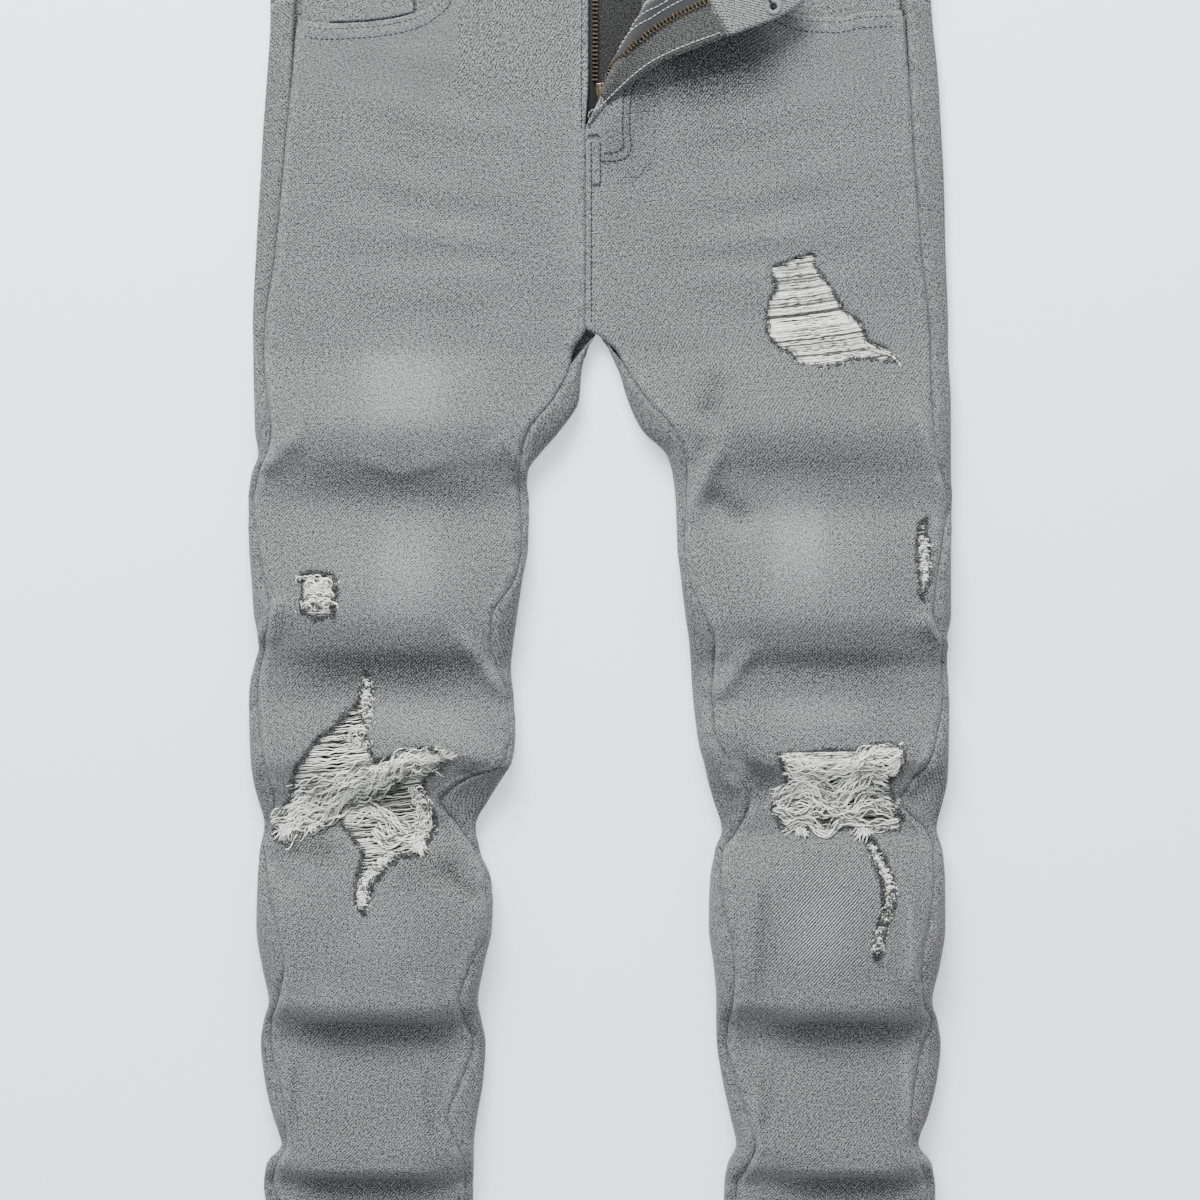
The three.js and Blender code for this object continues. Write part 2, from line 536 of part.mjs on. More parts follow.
// The left tape leaves the slider, climbs round the turned edge and lies on the facing.
// Rows: distance along the fold, distance of the tape's chain edge past it, lift off the panel.
const LEFT_TAPE = [[37, 2.5, -5], [43, 4.5, -4.2], [50, 6, -3.4], [60, 8, -3.3], [70, 11, -3.3],
  [82, 16, -3.2], [94, 22, -3.2], [103, 26, -3.2]];
const TAPE_WIDTH = 11;
function tapeGrid(from, to, columns, lower) {
  return steps(LEFT_TAPE[0][0], LEFT_TAPE[LEFT_TAPE.length - 1][0], 13).map((run) => {
    const past = along(LEFT_TAPE, run, 1);
    const lift = along(LEFT_TAPE, run, 2) - lower;
    return steps(past + from, past + to, columns).map((across) => besideFold(run, across, lift));
  });
}
add('zip_tape_left', wall(tapeGrid(-TAPE_WIDTH, 0, 5, 0), FACING), tape());
add('zip_teeth_left', wall(tapeGrid(GAP, GAP + CHAIN_WIDTH, 2, 0.8), CHAIN_DEPTH), brass());

// The slider, its bridge, and the pull tab that swings on the bridge.
const SLIDER_TOP = 9;
const sliderOutline = [[-2.4, 273], [2.4, 273], [4.2, 281], [4.2, 285.4], [-4.2, 285.4], [-4.2, 281]]
  .map(([x, y]) => [x + SLIDER_X, y]);
const sliderBody = toSolid(plate(sliderOutline, chainBottom, SLIDER_TOP));
const bridgeOutline = [[278.4, 8.6], [279.6, 8.6], [279.6, 10.9], [284.2, 10.9], [284.2, 8.6],
  [285.3, 8.6], [285.3, 11], [284.6, 11.7], [279.1, 11.7], [278.4, 11]];
const bridge = plate(bridgeOutline, -0.7, 0.7);
bridge.applyMatrix4(new THREE.Matrix4().set(0, 0, 1, SLIDER_X, 1, 0, 0, 0, 0, 1, 0, 0, 0, 0, 0, 1));
add('zip_slider', fromSolid(sliderBody.add(toSolid(bridge))), brass());

const TAB = { foot: 268, neck: 274.5, top: PULL_PIVOT_Y + 0.6, half: 2.3, neckHalf: 1.9, depth: 1 };
const tabShape = new THREE.Shape([[-TAB.half, TAB.foot + 1], [-TAB.half + 1, TAB.foot],
  [TAB.half - 1, TAB.foot], [TAB.half, TAB.foot + 1], [TAB.neckHalf, TAB.neck],
  [TAB.half, TAB.neck + 3], [TAB.half, TAB.top], [-TAB.half, TAB.top], [-TAB.half, TAB.neck + 3],
  [-TAB.neckHalf, TAB.neck]].map(([x, y]) => new THREE.Vector2(x + SLIDER_X, y)));
tabShape.holes.push(new THREE.Path([[-1.1, 277.6], [1.1, 277.6], [1.1, 281.4], [-1.1, 281.4]]
  .map(([x, y]) => new THREE.Vector2(x + SLIDER_X, y))));
const tab = new THREE.ExtrudeGeometry(tabShape, { depth: TAB.depth, bevelEnabled: false });
add('zip_pull_tab', tab.translate(0, 0, PULL_PIVOT_Z - TAB.depth / 2), brass());

export default parts;
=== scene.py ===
# %% [markdown]
# # Ripped grey jeans, laid flat on a pale table
#
# A pair of slim jeans is eight or so pieces of cloth that a maker cuts and sews: two fronts, two
# backs, two yokes, a waistband, and the small pieces of the pockets, the fly and the hems. This
# lesson builds each of them as a thin shell over the form that the CAD frame already holds, then
# adds what makes denim look like denim: the creases, the wash, the twill, the stitches, the zip,
# and the torn places where only the pale weft threads are left.
#
# The frame is loaded first. Its box is kept, because the finished model has to stay inside it.

# %% The frame
import math

import bpy
import numpy as np
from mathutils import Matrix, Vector


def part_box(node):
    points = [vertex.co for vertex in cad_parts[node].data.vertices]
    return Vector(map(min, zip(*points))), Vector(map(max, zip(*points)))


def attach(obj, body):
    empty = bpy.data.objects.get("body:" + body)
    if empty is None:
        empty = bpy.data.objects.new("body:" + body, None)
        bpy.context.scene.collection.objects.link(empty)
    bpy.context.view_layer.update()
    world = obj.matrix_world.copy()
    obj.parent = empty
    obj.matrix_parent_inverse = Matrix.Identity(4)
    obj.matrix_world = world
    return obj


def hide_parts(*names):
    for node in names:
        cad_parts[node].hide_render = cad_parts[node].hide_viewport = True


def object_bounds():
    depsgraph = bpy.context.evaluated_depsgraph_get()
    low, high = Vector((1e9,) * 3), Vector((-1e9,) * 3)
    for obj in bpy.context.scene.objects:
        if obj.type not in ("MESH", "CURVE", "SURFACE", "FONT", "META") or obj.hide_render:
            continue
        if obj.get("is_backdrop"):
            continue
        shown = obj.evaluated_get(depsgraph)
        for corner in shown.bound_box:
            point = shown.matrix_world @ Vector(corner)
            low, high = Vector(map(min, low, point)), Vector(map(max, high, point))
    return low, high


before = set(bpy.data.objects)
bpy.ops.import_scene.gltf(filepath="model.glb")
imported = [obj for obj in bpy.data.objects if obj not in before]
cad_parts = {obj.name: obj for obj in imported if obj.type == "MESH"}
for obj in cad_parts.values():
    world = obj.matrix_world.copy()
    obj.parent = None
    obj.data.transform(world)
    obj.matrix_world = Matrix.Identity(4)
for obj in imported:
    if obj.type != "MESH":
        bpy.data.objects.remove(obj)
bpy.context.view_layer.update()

MM = 0.001

# %% [markdown]
# ## Camera, table and light
#
# The jeans are looked at from straight above with a long lens, so that the sides of the legs
# hardly show. The table is a plain pale sheet. One wide soft light stands beyond the waist, a
# little to the left, and everything else comes from a pale sky. That is what makes each roll of
# cloth bright on its waist side and dark on its hem side.

# %% Camera
VIEW_WIDTH = 0.720
CAMERA_HEIGHT = 3.0
LOOK_AT = Vector((0, -0.024, 0))
camera_data = bpy.data.cameras.new("camera")
camera_data.sensor_width = 36
camera_data.lens = camera_data.sensor_width * CAMERA_HEIGHT / VIEW_WIDTH
camera = bpy.data.objects.new("camera", camera_data)
camera.location = LOOK_AT + Vector((0, 0, CAMERA_HEIGHT))
bpy.context.scene.collection.objects.link(camera)
bpy.context.scene.camera = camera
print("lens", round(camera_data.lens, 1), "mm")


# %% [markdown]
# Every finish is a small graph of nodes. These helpers make one node with its settings, so that
# the finishes below read as lists.

# %% Helpers for node materials
def new_material(name):
    """An empty node material with its output, and its two node lists."""
    material = bpy.data.materials.new(name)
    material.use_nodes = True
    tree = material.node_tree
    tree.nodes.clear()
    tree.nodes.new("ShaderNodeOutputMaterial")
    return material, tree.nodes, tree.links


def add_node(nodes, kind, settings=(), inputs=()):
    """A node with its settings and the plain values of its inputs."""
    node = nodes.new("ShaderNode" + kind)
    for name, value in dict(settings).items():
        setattr(node, name, value)
    for name, value in dict(inputs).items():
        node.inputs[name].default_value = value
    return node


def shader(nodes, links, roughness, metallic=0.0, specular=0.3, sheen=0.0):
    """The Principled shader, joined to the output, with its plain values set on it."""
    node = add_node(nodes, "BsdfPrincipled", inputs={
        "Roughness": roughness, "Metallic": metallic, "Specular IOR Level": specular,
        "Sheen Weight": sheen})
    links.new(node.outputs[0], nodes["Material Output"].inputs[0])
    return node


# %% [markdown]
# The table is a plain pale sheet under the cloth. A little light of its own keeps it near white
# while the denim stays mid grey.

# %% Table
TABLE_GLOW = 0.5  # the sheet is thin and lit from behind too


def table_material():
    material, nodes, links = new_material("table_white")
    surface = shader(nodes, links, 0.6)
    place = add_node(nodes, "TexCoord")
    mottle = add_node(nodes, "TexNoise", inputs={"Scale": 3.0, "Detail": 2.0})
    colours = add_node(nodes, "ValToRGB")
    colours.color_ramp.elements[0].color = (0.86, 0.90, 0.93, 1)
    colours.color_ramp.elements[1].color = (0.89, 0.92, 0.94, 1)
    links.new(place.outputs["Object"], mottle.inputs["Vector"])
    links.new(mottle.outputs["Fac"], colours.inputs["Fac"])
    links.new(colours.outputs["Color"], surface.inputs["Base Color"])
    links.new(colours.outputs["Color"], surface.inputs["Emission Color"])
    surface.inputs["Emission Strength"].default_value = TABLE_GLOW
    return material


TABLE_SIZE = 6.0
TABLE_DROP = 0.3 * MM
bpy.ops.object.select_all(action="DESELECT")
bpy.ops.mesh.primitive_plane_add(size=TABLE_SIZE, location=(0, 0, -TABLE_DROP))
table = bpy.context.object
table.name = "table"
table.data.materials.append(table_material())
table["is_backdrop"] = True

# %% [markdown]
# One soft light from above and slightly left, with a pale sky, gives the hollows their shade.

# %% Light
KEY_POWER = 190.0
SKY_STRENGTH = 1.05


def add_key_light():
    light = bpy.data.lights.new("window", "AREA")
    light.shape = "RECTANGLE"
    light.size, light.size_y = 1.8, 1.0
    light.energy = KEY_POWER
    light.color = (1.0, 0.99, 0.975)
    window = bpy.data.objects.new("window", light)
    window.location = (-0.55, 2.1, 1.45)
    window.rotation_euler = (Vector((0, 0, 0)) - window.location).to_track_quat("-Z", "Y").to_euler()
    bpy.context.scene.collection.objects.link(window)


add_key_light()
world = bpy.data.worlds.new("pale_sky")
world.use_nodes = True
sky = world.node_tree.nodes["Background"]
sky.inputs["Color"].default_value = (0.93, 0.97, 1.0, 1)
sky.inputs["Strength"].default_value = SKY_STRENGTH
bpy.context.scene.world = world

# %% [markdown]
# ## The form of a leg
#
# A leg that lies flat is a tube pressed down: it has an outer fold, an inner fold, a crown over
# the table, and two seams that can lie anywhere round it. Each row below gives those for one
# height: y, then the distances out from the middle of the outer fold, the outseam, the front's
# inner seam and the inner fold, then the crown's height, all in millimetres. A smooth curve runs
# through the rows, so that a bulge swells and a fold pinches as cloth does.

# %% Leg sections
RIGHT_ROWS = [
    (365, 197, 181, 7.2, 2.15, 7.5), (324, 197, 183, 7.2, 2.15, 7.5),
    (290, 199, 184.5, 7.2, 2.15, 7.5), (256, 201.5, 187.5, 8.85, 2.15, 7.5),
    (228, 203, 190, 8.85, 2.15, 7.5), (186, 205.5, 194, 8.85, 2.15, 7.5),
    (139, 207.5, 200.5, 8.85, 2.15, 9), (126, 207, 201, 16, 8, 10),
    (114, 207, 200.5, 18.5, 11.5, 13), (96, 206.5, 198.5, 28, 13, 18),
    (78, 206, 196, 42, 24, 22), (63, 204, 198, 47.5, 37, 20), (51, 208, 204, 49.5, 45, 16.5),
    (33, 209.5, 207, 47.5, 43.5, 13), (9, 209.5, 204, 46.5, 44, 18),
    (-12, 208, 200, 51, 47, 23), (-33, 206.5, 196, 64, 50, 26), (-51, 203, 199.5, 65.5, 52.5, 22),
    (-66, 207, 203, 62, 54, 16), (-81, 209.5, 204.5, 56, 53, 14.5),
    (-102, 209.3, 203, 53.5, 51.5, 20), (-120, 208.5, 200, 57, 53, 24),
    (-132, 207, 197, 83, 60, 20), (-144, 204, 194, 95.5, 67.5, 15), (-159, 200, 198, 85, 75, 13),
    (-174, 203, 201, 75, 73, 17), (-195, 204.5, 198, 67, 65, 24), (-219, 205, 192, 67.5, 65.5, 28),
    (-243, 201.5, 188, 77.5, 70, 30), (-264, 197.5, 192, 84, 73.5, 29),
    (-275, 200.5, 196, 81, 71.5, 20), (-289, 202.5, 196.5, 76, 69, 15),
    (-312, 200, 191, 83, 70.5, 18), (-333, 195, 187, 91, 74, 22), (-350, 189.5, 187.5, 85, 76, 24),
    (-361, 199, 193, 81, 76, 22), (-373, 200.5, 195.5, 80.5, 77, 14), (-400, 197, 187, 82, 77, 13),
    (-414, 196, 188, 82, 77, 14),
]
LEFT_ROWS = [
    (365, 196, 182, -8.55, -1.85, 7.5), (324, 198.5, 183.5, -8.55, -1.85, 7.5),
    (290, 202, 185.5, -8.55, -1.85, 7.5), (256, 204, 187.5, -8.55, -1.85, 7.5),
    (228, 205.5, 189.5, -8.55, -1.85, 7.5), (186, 206.5, 192.5, -8.55, -1.85, 7.5),
    (139, 208, 197.5, -8.55, -1.85, 9), (126, 208, 198, 9, 6, 10), (114, 208.5, 198, 16, 11.5, 13),
    (96, 209.5, 198.5, 28, 17, 17), (78, 209.5, 199, 44.5, 25.5, 20), (63, 209.5, 200, 51, 40.5, 18),
    (51, 209.5, 203, 52.5, 44, 15), (33, 209.5, 207.5, 52.5, 46, 13), (9, 209.5, 204.5, 50.5, 47, 20),
    (-12, 209.5, 201, 53.5, 49, 24), (-33, 209.5, 199, 62.5, 51.5, 26),
    (-51, 206.5, 203, 69, 54, 21), (-66, 207, 204.5, 68.5, 55, 15),
    (-81, 208, 205.5, 67.5, 56, 15), (-102, 208.3, 202, 69, 58.5, 20),
    (-120, 208, 197, 76, 62.5, 23), (-132, 207.5, 186.5, 83, 65, 18),
    (-144, 205, 179, 90, 68.5, 14), (-162, 201, 195, 82, 73.5, 13),
    (-174, 204.5, 199, 73.5, 69.5, 18), (-195, 206, 199, 72, 66, 25),
    (-219, 206, 195.5, 77, 65.5, 29), (-243, 202.5, 191, 80.5, 68.5, 31),
    (-264, 198, 192, 79.5, 70, 29), (-275, 201, 198, 77, 70, 20), (-289, 203.5, 193, 76, 70.5, 15),
    (-312, 201, 188, 82, 74, 18), (-333, 195.5, 185, 88, 78.5, 22), (-350, 189.5, 187.5, 93, 82, 24),
    (-361, 198, 191, 89, 77, 22), (-373, 199.5, 196, 82, 75, 14), (-400, 200, 193, 81.5, 74.5, 13),
    (-414, 199, 192, 82, 75, 14),
]
WAIST_SEAM = 365 * MM
CROTCH = 139 * MM
HEM = -414 * MM
CLOTH = 1.2 * MM


# %% [markdown]
# Curves through a few measured rows give each leg its outline. A spline keeps them smooth.

# %% Small tools for numbers
def smooth(t):
    """From 0 to 1 with soft ends."""
    t = np.clip(t, 0, 1)
    return t * t * (3 - 2 * t)


def mix(a, b, k):
    return a + (b - a) * k


def bump(v, middle, width):
    return np.exp(-(((v - middle) / width) ** 2))


def slopes(xs, ys):
    """The slope at each point of a curve that never swings past its points."""
    steps = np.diff(ys) / np.diff(xs)
    inner = np.where(steps[:-1] * steps[1:] > 0,
                     2 * steps[:-1] * steps[1:] / np.where(steps[:-1] + steps[1:] == 0, 1,
                                                           steps[:-1] + steps[1:]), 0)
    return np.concatenate([[steps[0]], inner, [steps[-1]]])


def smooth_curve(xs, ys):
    """A function for the smooth curve through the points, whose xs rise."""
    xs, ys = np.asarray(xs, float), np.asarray(ys, float)
    slope = slopes(xs, ys)

    def at(v):
        v = np.clip(v, xs[0], xs[-1])
        i = np.clip(np.searchsorted(xs, v, side="right") - 1, 0, len(xs) - 2)
        span = xs[i + 1] - xs[i]
        t = (v - xs[i]) / span
        start = (1 + 2 * t) * (1 - t) ** 2 * ys[i] + t * (1 - t) ** 2 * span * slope[i]
        return start + t * t * (3 - 2 * t) * ys[i + 1] + t * t * (t - 1) * span * slope[i + 1]

    return at


# %% [markdown]
# ## Creases
#
# Denim that has been worn and washed keeps its creases. Each is a soft ridge or trough along a
# short line that is listed below. Most are steeper on one side, as a roll of cloth is where it
# tips over, so a crease has one width above its line and another below. The same tool paints the
# wash: a whisker or a fade is a stroke of lighter or darker dye along a line.

# %% Strokes: soft lines for creases, for the wash and for its painted shade and highlights
def stroke(x, y, points, above, below):
    """1 along a line, falling to 0 on both sides and towards its ends. Millimetres."""
    points = np.array(points, float)
    lengths = np.linalg.norm(np.diff(points, axis=0), axis=1)
    nearest = np.full(np.shape(x), 1e9)
    height, run = np.zeros(np.shape(x)), np.zeros(np.shape(x))
    for (ax, ay), (bx, by), length, before in zip(
            points[:-1], points[1:], lengths, np.concatenate([[0], np.cumsum(lengths)])):
        dx, dy = (bx - ax) / length, (by - ay) / length
        along = np.clip((x - ax) * dx + (y - ay) * dy, 0, length)
        away = np.hypot(x - ax - along * dx, y - ay - along * dy)
        side = np.where((y - ay) * dx - (x - ax) * dy > 0, above, below)
        closer = away < nearest
        nearest = np.where(closer, away, nearest)
        height = np.where(closer, np.exp(-((away / side) ** 2)), height)
        run = np.where(closer, before + along, run)
    total = lengths.sum()
    return height * smooth(np.minimum(run, total - run) / (0.32 * total))


# Each crease: its line, its height, then its widths above and below the line.
RIGHT_CREASES = [
    ([(-175, 80), (-190, 68), (-204, 50)], 4.0, 9, 4),
    ([(-62, 77), (-52, 60), (-44, 44)], 3.5, 5, 8),
    ([(-186, -20), (-196, -38), (-204, -53)], 3.5, 8, 4),
    ([(-90, -36), (-72, -60), (-54, -86)], 4.0, 7, 6),
    ([(-150, 62), (-120, 52), (-84, 60)], 1.6, 5, 5),
    ([(-196, -158), (-160, -152), (-126, -140), (-98, -140)], -5.0, 9, 9),
    ([(-128, -108), (-100, -112), (-70, -119), (-54, -126)], 3.5, 12, 4),
    ([(-98, -178), (-84, -190), (-64, -206)], -3.5, 8, 8),
    ([(-200, -168), (-192, -186), (-178, -200)], -3.0, 7, 7),
    ([(-112, -170), (-90, -182), (-76, -206), (-72, -240)], 2.5, 7, 6),
    ([(-194, -273), (-160, -270), (-118, -272), (-74, -270)], 3.8, 14, 3),
    ([(-112, -245), (-106, -262), (-98, -275)], 2.4, 5, 5),
    ([(-185, -282), (-184, -310), (-187, -346)], 2.2, 4, 4),
    ([(-104, -282), (-101, -315), (-104, -350)], 2.4, 5, 4),
    ([(-192, -366), (-160, -363), (-120, -364), (-78, -367)], 3.8, 14, 3),
    ([(-186, -378), (-184, -396), (-188, -412)], 1.8, 5, 5),
]
LEFT_CREASES = [
    ([(62, 96), (68, 84), (76, 76)], -2.4, 6, 6),
    ([(76, 76), (62, 50), (50, 16)], 4.2, 7, 5),
    ([(58, 44), (76, 28), (98, 20)], -4.0, 7, 8),
    ([(180, 106), (198, 66), (205, 22)], 3.0, 6, 6),
    ([(186, -30), (198, -44), (208, -58)], 3.5, 4, 7),
    ([(94, -48), (80, -66), (66, -88)], 4.0, 6, 7),
    ([(66, -110), (86, -124), (112, -146)], -5.5, 9, 9),
    ([(62, -92), (66, -112), (76, -130), (92, -144)], 3.0, 5, 5),
    ([(182, -120), (192, -134), (184, -152)], -3.0, 6, 6),
    ([(86, -166), (94, -196), (92, -230), (90, -266)], 2.8, 4, 6),
    ([(180, -168), (185, -205), (184, -252), (199, -274)], 2.8, 6, 4),
    ([(88, -273), (120, -270), (160, -270), (202, -273)], 3.8, 14, 3),
    ([(98, -282), (99, -315), (94, -346)], 2.2, 4, 4),
    ([(182, -282), (183, -315), (186, -346)], 2.4, 4, 4),
    ([(96, -368), (120, -363), (156, -363), (196, -367)], 3.8, 14, 3),
    ([(180, -378), (184, -396), (180, -412)], 1.8, 5, 5),
]
# The pelvis is pulled flat, with only low whiskers that fan up from the crotch.
HIP_CREASES = [
    ([(side * a, b), (side * (a + 45), b + 6), (side * (a + 95), b + rise)], height, 6, 7)
    for side in (-1, 1)
    for a, b, rise, height in ((34, 166, 4, 0.7), (40, 186, 10, 0.8), (46, 210, 18, 0.7),
                               (60, 150, -4, 0.6), (52, 234, 24, 0.5))
]
# The undersides, which rest on the table, keep flatter creases of the same kind.
BACK_CREASES = [
    ([(side * a, y), (side * (a + 45), y + rise), (side * (a + 95), y)], 0.9, 8, 5)
    for side in (-1, 1)
    for a, y, rise in ((70, 60, 8), (76, -60, -6), (84, -140, 10), (86, -168, -4), (88, -272, 4),
                       (90, -362, -4))
]


def relief(x, y, creases):
    """The height, in metres, that the creases add at places in metres."""
    total = np.zeros(np.shape(x))
    for line, height, above, below in creases:
        total += height * MM * stroke(x / MM, y / MM, line, above, below)
    return total


# %% [markdown]
# ## One leg as a surface
#
# A leg is a function of two numbers: how far round the tube, and how far down it. Every panel is
# then a net of points taken from that one function between two seams, so neighbouring panels
# meet exactly along them, as sewn cloth does.

# %% The leg as a function
def fly_layers(x, y):
    """The fly's layers lift the fronts along the middle."""
    x, y = x / MM, y / MM
    return (1.5 * bump(x, 8, 40) * smooth((y - 225) / 30) + 7 * bump(x, 8, 16) * bump(y, 272, 26)) * MM


def under_hips(y):
    """The height of the cloth's middle where it lies underneath: over the back pockets, then
    on the table."""
    return mix(2.2, 0.9, smooth((200 - y / MM) / 40)) * MM


class Leg:
    """Half of the hips with its leg. A turn of 0 is the outer fold, a quarter turn the top and a
    half turn the inner fold. The cloth underneath has turns below 0."""

    def __init__(self, side, rows, creases, rest=under_hips):
        columns = np.array(rows, float)[::-1].T * MM
        self.side, self.creases, self.rest = side, creases, rest
        self.curves = [smooth_curve(columns[0], column) for column in columns[1:]]

    def outer(self, y):
        return self.curves[0](y)

    def inner(self, y):
        return self.curves[3](y)

    def middle(self, y):
        return (self.outer(y) + self.inner(y)) / 2

    def half(self, y):
        return (self.outer(y) - self.inner(y)) / 2

    def outseam(self, y):
        return np.minimum(self.curves[1](y), self.outer(y) - 1.5 * MM)

    def inner_seam(self, y):
        beside_fold = self.inner(y) + 1.2 * MM * self.legness(y)
        in_leg = smooth((CROTCH - y) / (7 * MM))
        return np.maximum(self.curves[2](y), mix(self.curves[2](y), beside_fold, in_leg))

    def legness(self, y):
        return smooth((CROTCH - y) / (25 * MM))

    def turn_at(self, out, y):
        return np.arccos(np.clip((out - self.middle(y)) / self.half(y), -0.9998, 0.9998))

    def plain(self, turn, y, out=None):
        """A point of the uncreased leg. out places it exactly, even past the inner fold."""
        crown = self.curves[4](y)
        fold = np.minimum(0.62 * crown, 2 * MM + 0.22 * crown)
        x = self.side * (self.middle(y) + self.half(y) * np.cos(turn) if out is None else out)
        rise = np.abs(np.sin(turn))
        flat = np.where(np.cos(turn) < 0, 1 - self.legness(y), 0)
        top = mix(fold, crown + fly_layers(x, y), mix(rise ** 0.55, 1, flat))
        resting = np.minimum(1, 1.15 * np.sqrt(rise))
        under = mix(fold, self.rest(y), mix(resting, 1, flat))
        return np.stack([x, y + 0 * x, np.where(np.sin(turn) >= 0, top, under)], axis=-1)

    def outward(self, turn, y):
        """The way that the outside of the cloth faces."""
        small, step = 0.006, 1.2 * MM
        around = self.plain(turn + small, y) - self.plain(turn - small, y)
        down = self.plain(turn, y - step) - self.plain(turn, y + step)
        normal = self.side * np.cross(around, down)
        return normal / np.maximum(np.linalg.norm(normal, axis=-1, keepdims=True), 1e-12)

    def spot(self, turn, y, lift=0.0, out=None):
        """A point of the creased leg, raised off the cloth's middle by lift, and its normal."""
        turn, y = np.broadcast_arrays(np.asarray(turn, float), np.asarray(y, float))
        at, normal = self.plain(turn, y, out), self.outward(turn, y)
        up = smooth(0.5 + 2.5 * np.sin(turn))
        raised = lift + up * relief(at[..., 0], at[..., 1], self.creases + HIP_CREASES)
        raised = raised + (1 - up) * relief(at[..., 0], at[..., 1], BACK_CREASES) * 0.5
        return at + normal * raised[..., None], normal

    def top(self, out, y, lift=0.0):
        return self.spot(self.turn_at(out, y), y, lift, np.asarray(out, float) + 0 * y)


RIGHT = Leg(-1, RIGHT_ROWS, RIGHT_CREASES)
LEFT = Leg(1, LEFT_ROWS, LEFT_CREASES)
print("knee widths in mm:", [round(float(2 * leg.half(-0.15)) / MM) for leg in (RIGHT, LEFT)])

# %% [markdown]
# ## From a net of points to cloth
#
# A panel is a net of points. It gets faces, a flat map measured along the cloth so that the weave
# keeps its size, a few named numbers at each point for the wash with its painted shade and
# highlights and for the seams, and then a real thickness from a Solidify modifier.

# %% Cloth from a net
BODY = "garment"


def flat_map(at):
    """Distances along the cloth, in metres, for each point of a net."""
    across = np.linalg.norm(np.diff(at, axis=1), axis=2)
    down = np.linalg.norm(np.diff(at, axis=0), axis=2)
    u = np.concatenate([np.zeros((len(at), 1)), np.cumsum(across, axis=1)], axis=1)
    heading = 1.0 if np.mean(at[:, -1, 0] - at[:, 0, 0]) >= 0 else -1.0
    u = heading * (u - u.mean(axis=1, keepdims=True))
    v = np.concatenate([np.zeros((1, at.shape[1])), np.cumsum(down, axis=0)], axis=0)
    return np.stack([u, -np.repeat(v.mean(axis=1, keepdims=True), at.shape[1], axis=1)], axis=-1)


def make_mesh(name, points, faces, maps=None, values=None):
    """A mesh object from arrays, with an optional flat map and named numbers for its points."""
    mesh = bpy.data.meshes.new(name)
    mesh.from_pydata([tuple(p) for p in np.asarray(points, float).reshape(-1, 3)], [],
                     [tuple(int(i) for i in f) for f in faces])
    corner = np.zeros(len(mesh.loops), np.int32)
    mesh.loops.foreach_get("vertex_index", corner)
    if maps is not None:
        layer = mesh.uv_layers.new(name="cloth")
        layer.data.foreach_set("uv", maps.reshape(-1, 2)[corner].astype(np.float32).ravel())
    for key, value in (values or {}).items():
        field = mesh.attributes.new(key, "FLOAT", "POINT")
        field.data.foreach_set("value", np.asarray(value, np.float32).ravel())
    mesh.polygons.foreach_set("use_smooth", np.ones(len(mesh.polygons), bool))
    mesh.update()
    made = bpy.data.objects.new(name, mesh)
    bpy.context.scene.collection.objects.link(made)
    return made


def net_faces(rows, columns, flip=False, closed=False):
    index = np.arange(rows * columns).reshape(rows, columns)
    if closed:
        index = np.concatenate([index, index[:, :1]], axis=1)
    a, b, c, d = index[:-1, :-1], index[:-1, 1:], index[1:, 1:], index[1:, :-1]
    faces = np.stack([a, d, c, b] if flip else [a, b, c, d], axis=-1)
    return faces.reshape(-1, 4)


def note_cut(name, at, drop=None):
    """Measures the area of each face of a net, leaving out the dropped faces. Nothing is kept."""
    across, down = at[:-1, 1:] - at[:-1, :-1], at[1:, :-1] - at[:-1, :-1]
    each = np.linalg.norm(np.cross(across, down), axis=-1)
    if drop is not None:
        each = each[~drop]


def thicken(piece, thickness, offset=0.0):
    shell = piece.modifiers.new("thickness", "SOLIDIFY")
    shell.thickness, shell.offset = thickness, offset
    shell.use_rim = True
    return piece


def cloth(name, at, material, facing_up, thickness=CLOTH, values=None, drop=None, closed=False,
          node=None, maps=None):
    """A panel from a net of points. facing_up says on which side its outside is. drop is a mask
    of faces to leave out."""
    rows, columns = at.shape[:2]
    faces = net_faces(rows, columns, flip=not facing_up, closed=closed)
    if drop is not None:
        faces = faces[~drop.ravel()]
    note_cut(name, np.concatenate([at, at[:, :1]], axis=1) if closed else at,
             None if closed else drop)
    piece = make_mesh(f"{name}_cloth", at, faces, flat_map(at) if maps is None else maps, values)
    piece.data.materials.append(material)
    thicken(piece, thickness)
    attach(piece, BODY)
    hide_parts(node or name)
    return piece


# %% [markdown]
# ## Washed denim
#
# Grey denim is a twill: dark warp threads float over pale weft ones and leave fine slanting
# lines. Washing wears the tops of the threads pale, most of all along seams, over the thighs and
# on the creases. The node group below makes the weave once, from the flat map, so that every
# panel can place it with its own strength. The wash comes from the numbers that each panel
# carries, and not from a picture. The same numbers also carry painted shade in the hollows and
# under the flap, and painted highlights on the crests and on the bulges that face the light.

# %% The twill as a node group
def socket(tree, name, kind, way, value=None):
    made = tree.interface.new_socket(name=name, in_out=way, socket_type="NodeSocket" + kind)
    if value is not None:
        made.default_value = value
    return made


def math_node(tree, operation, a, b, clamp=False):
    """A Math node whose inputs are numbers or other nodes' outputs."""
    node = tree.nodes.new("ShaderNodeMath")
    node.operation, node.use_clamp = operation, clamp
    for slot_in, value in zip(node.inputs, (a, b)):
        if isinstance(value, (int, float)):
            slot_in.default_value = value
        else:
            tree.links.new(value, slot_in)
    return node.outputs[0]


def noise(tree, vector, scale, detail=2.0, roughness=0.5):
    node = add_node(tree.nodes, "TexNoise", inputs={
        "Scale": scale, "Detail": detail, "Roughness": roughness})
    tree.links.new(vector, node.inputs["Vector"])
    return node.outputs["Fac"]


TWILL_PITCH = 1.5 * MM
TWILL_LINES = math.pi / 10 / TWILL_PITCH  # a wave band repeats each pi / 10 over its scale


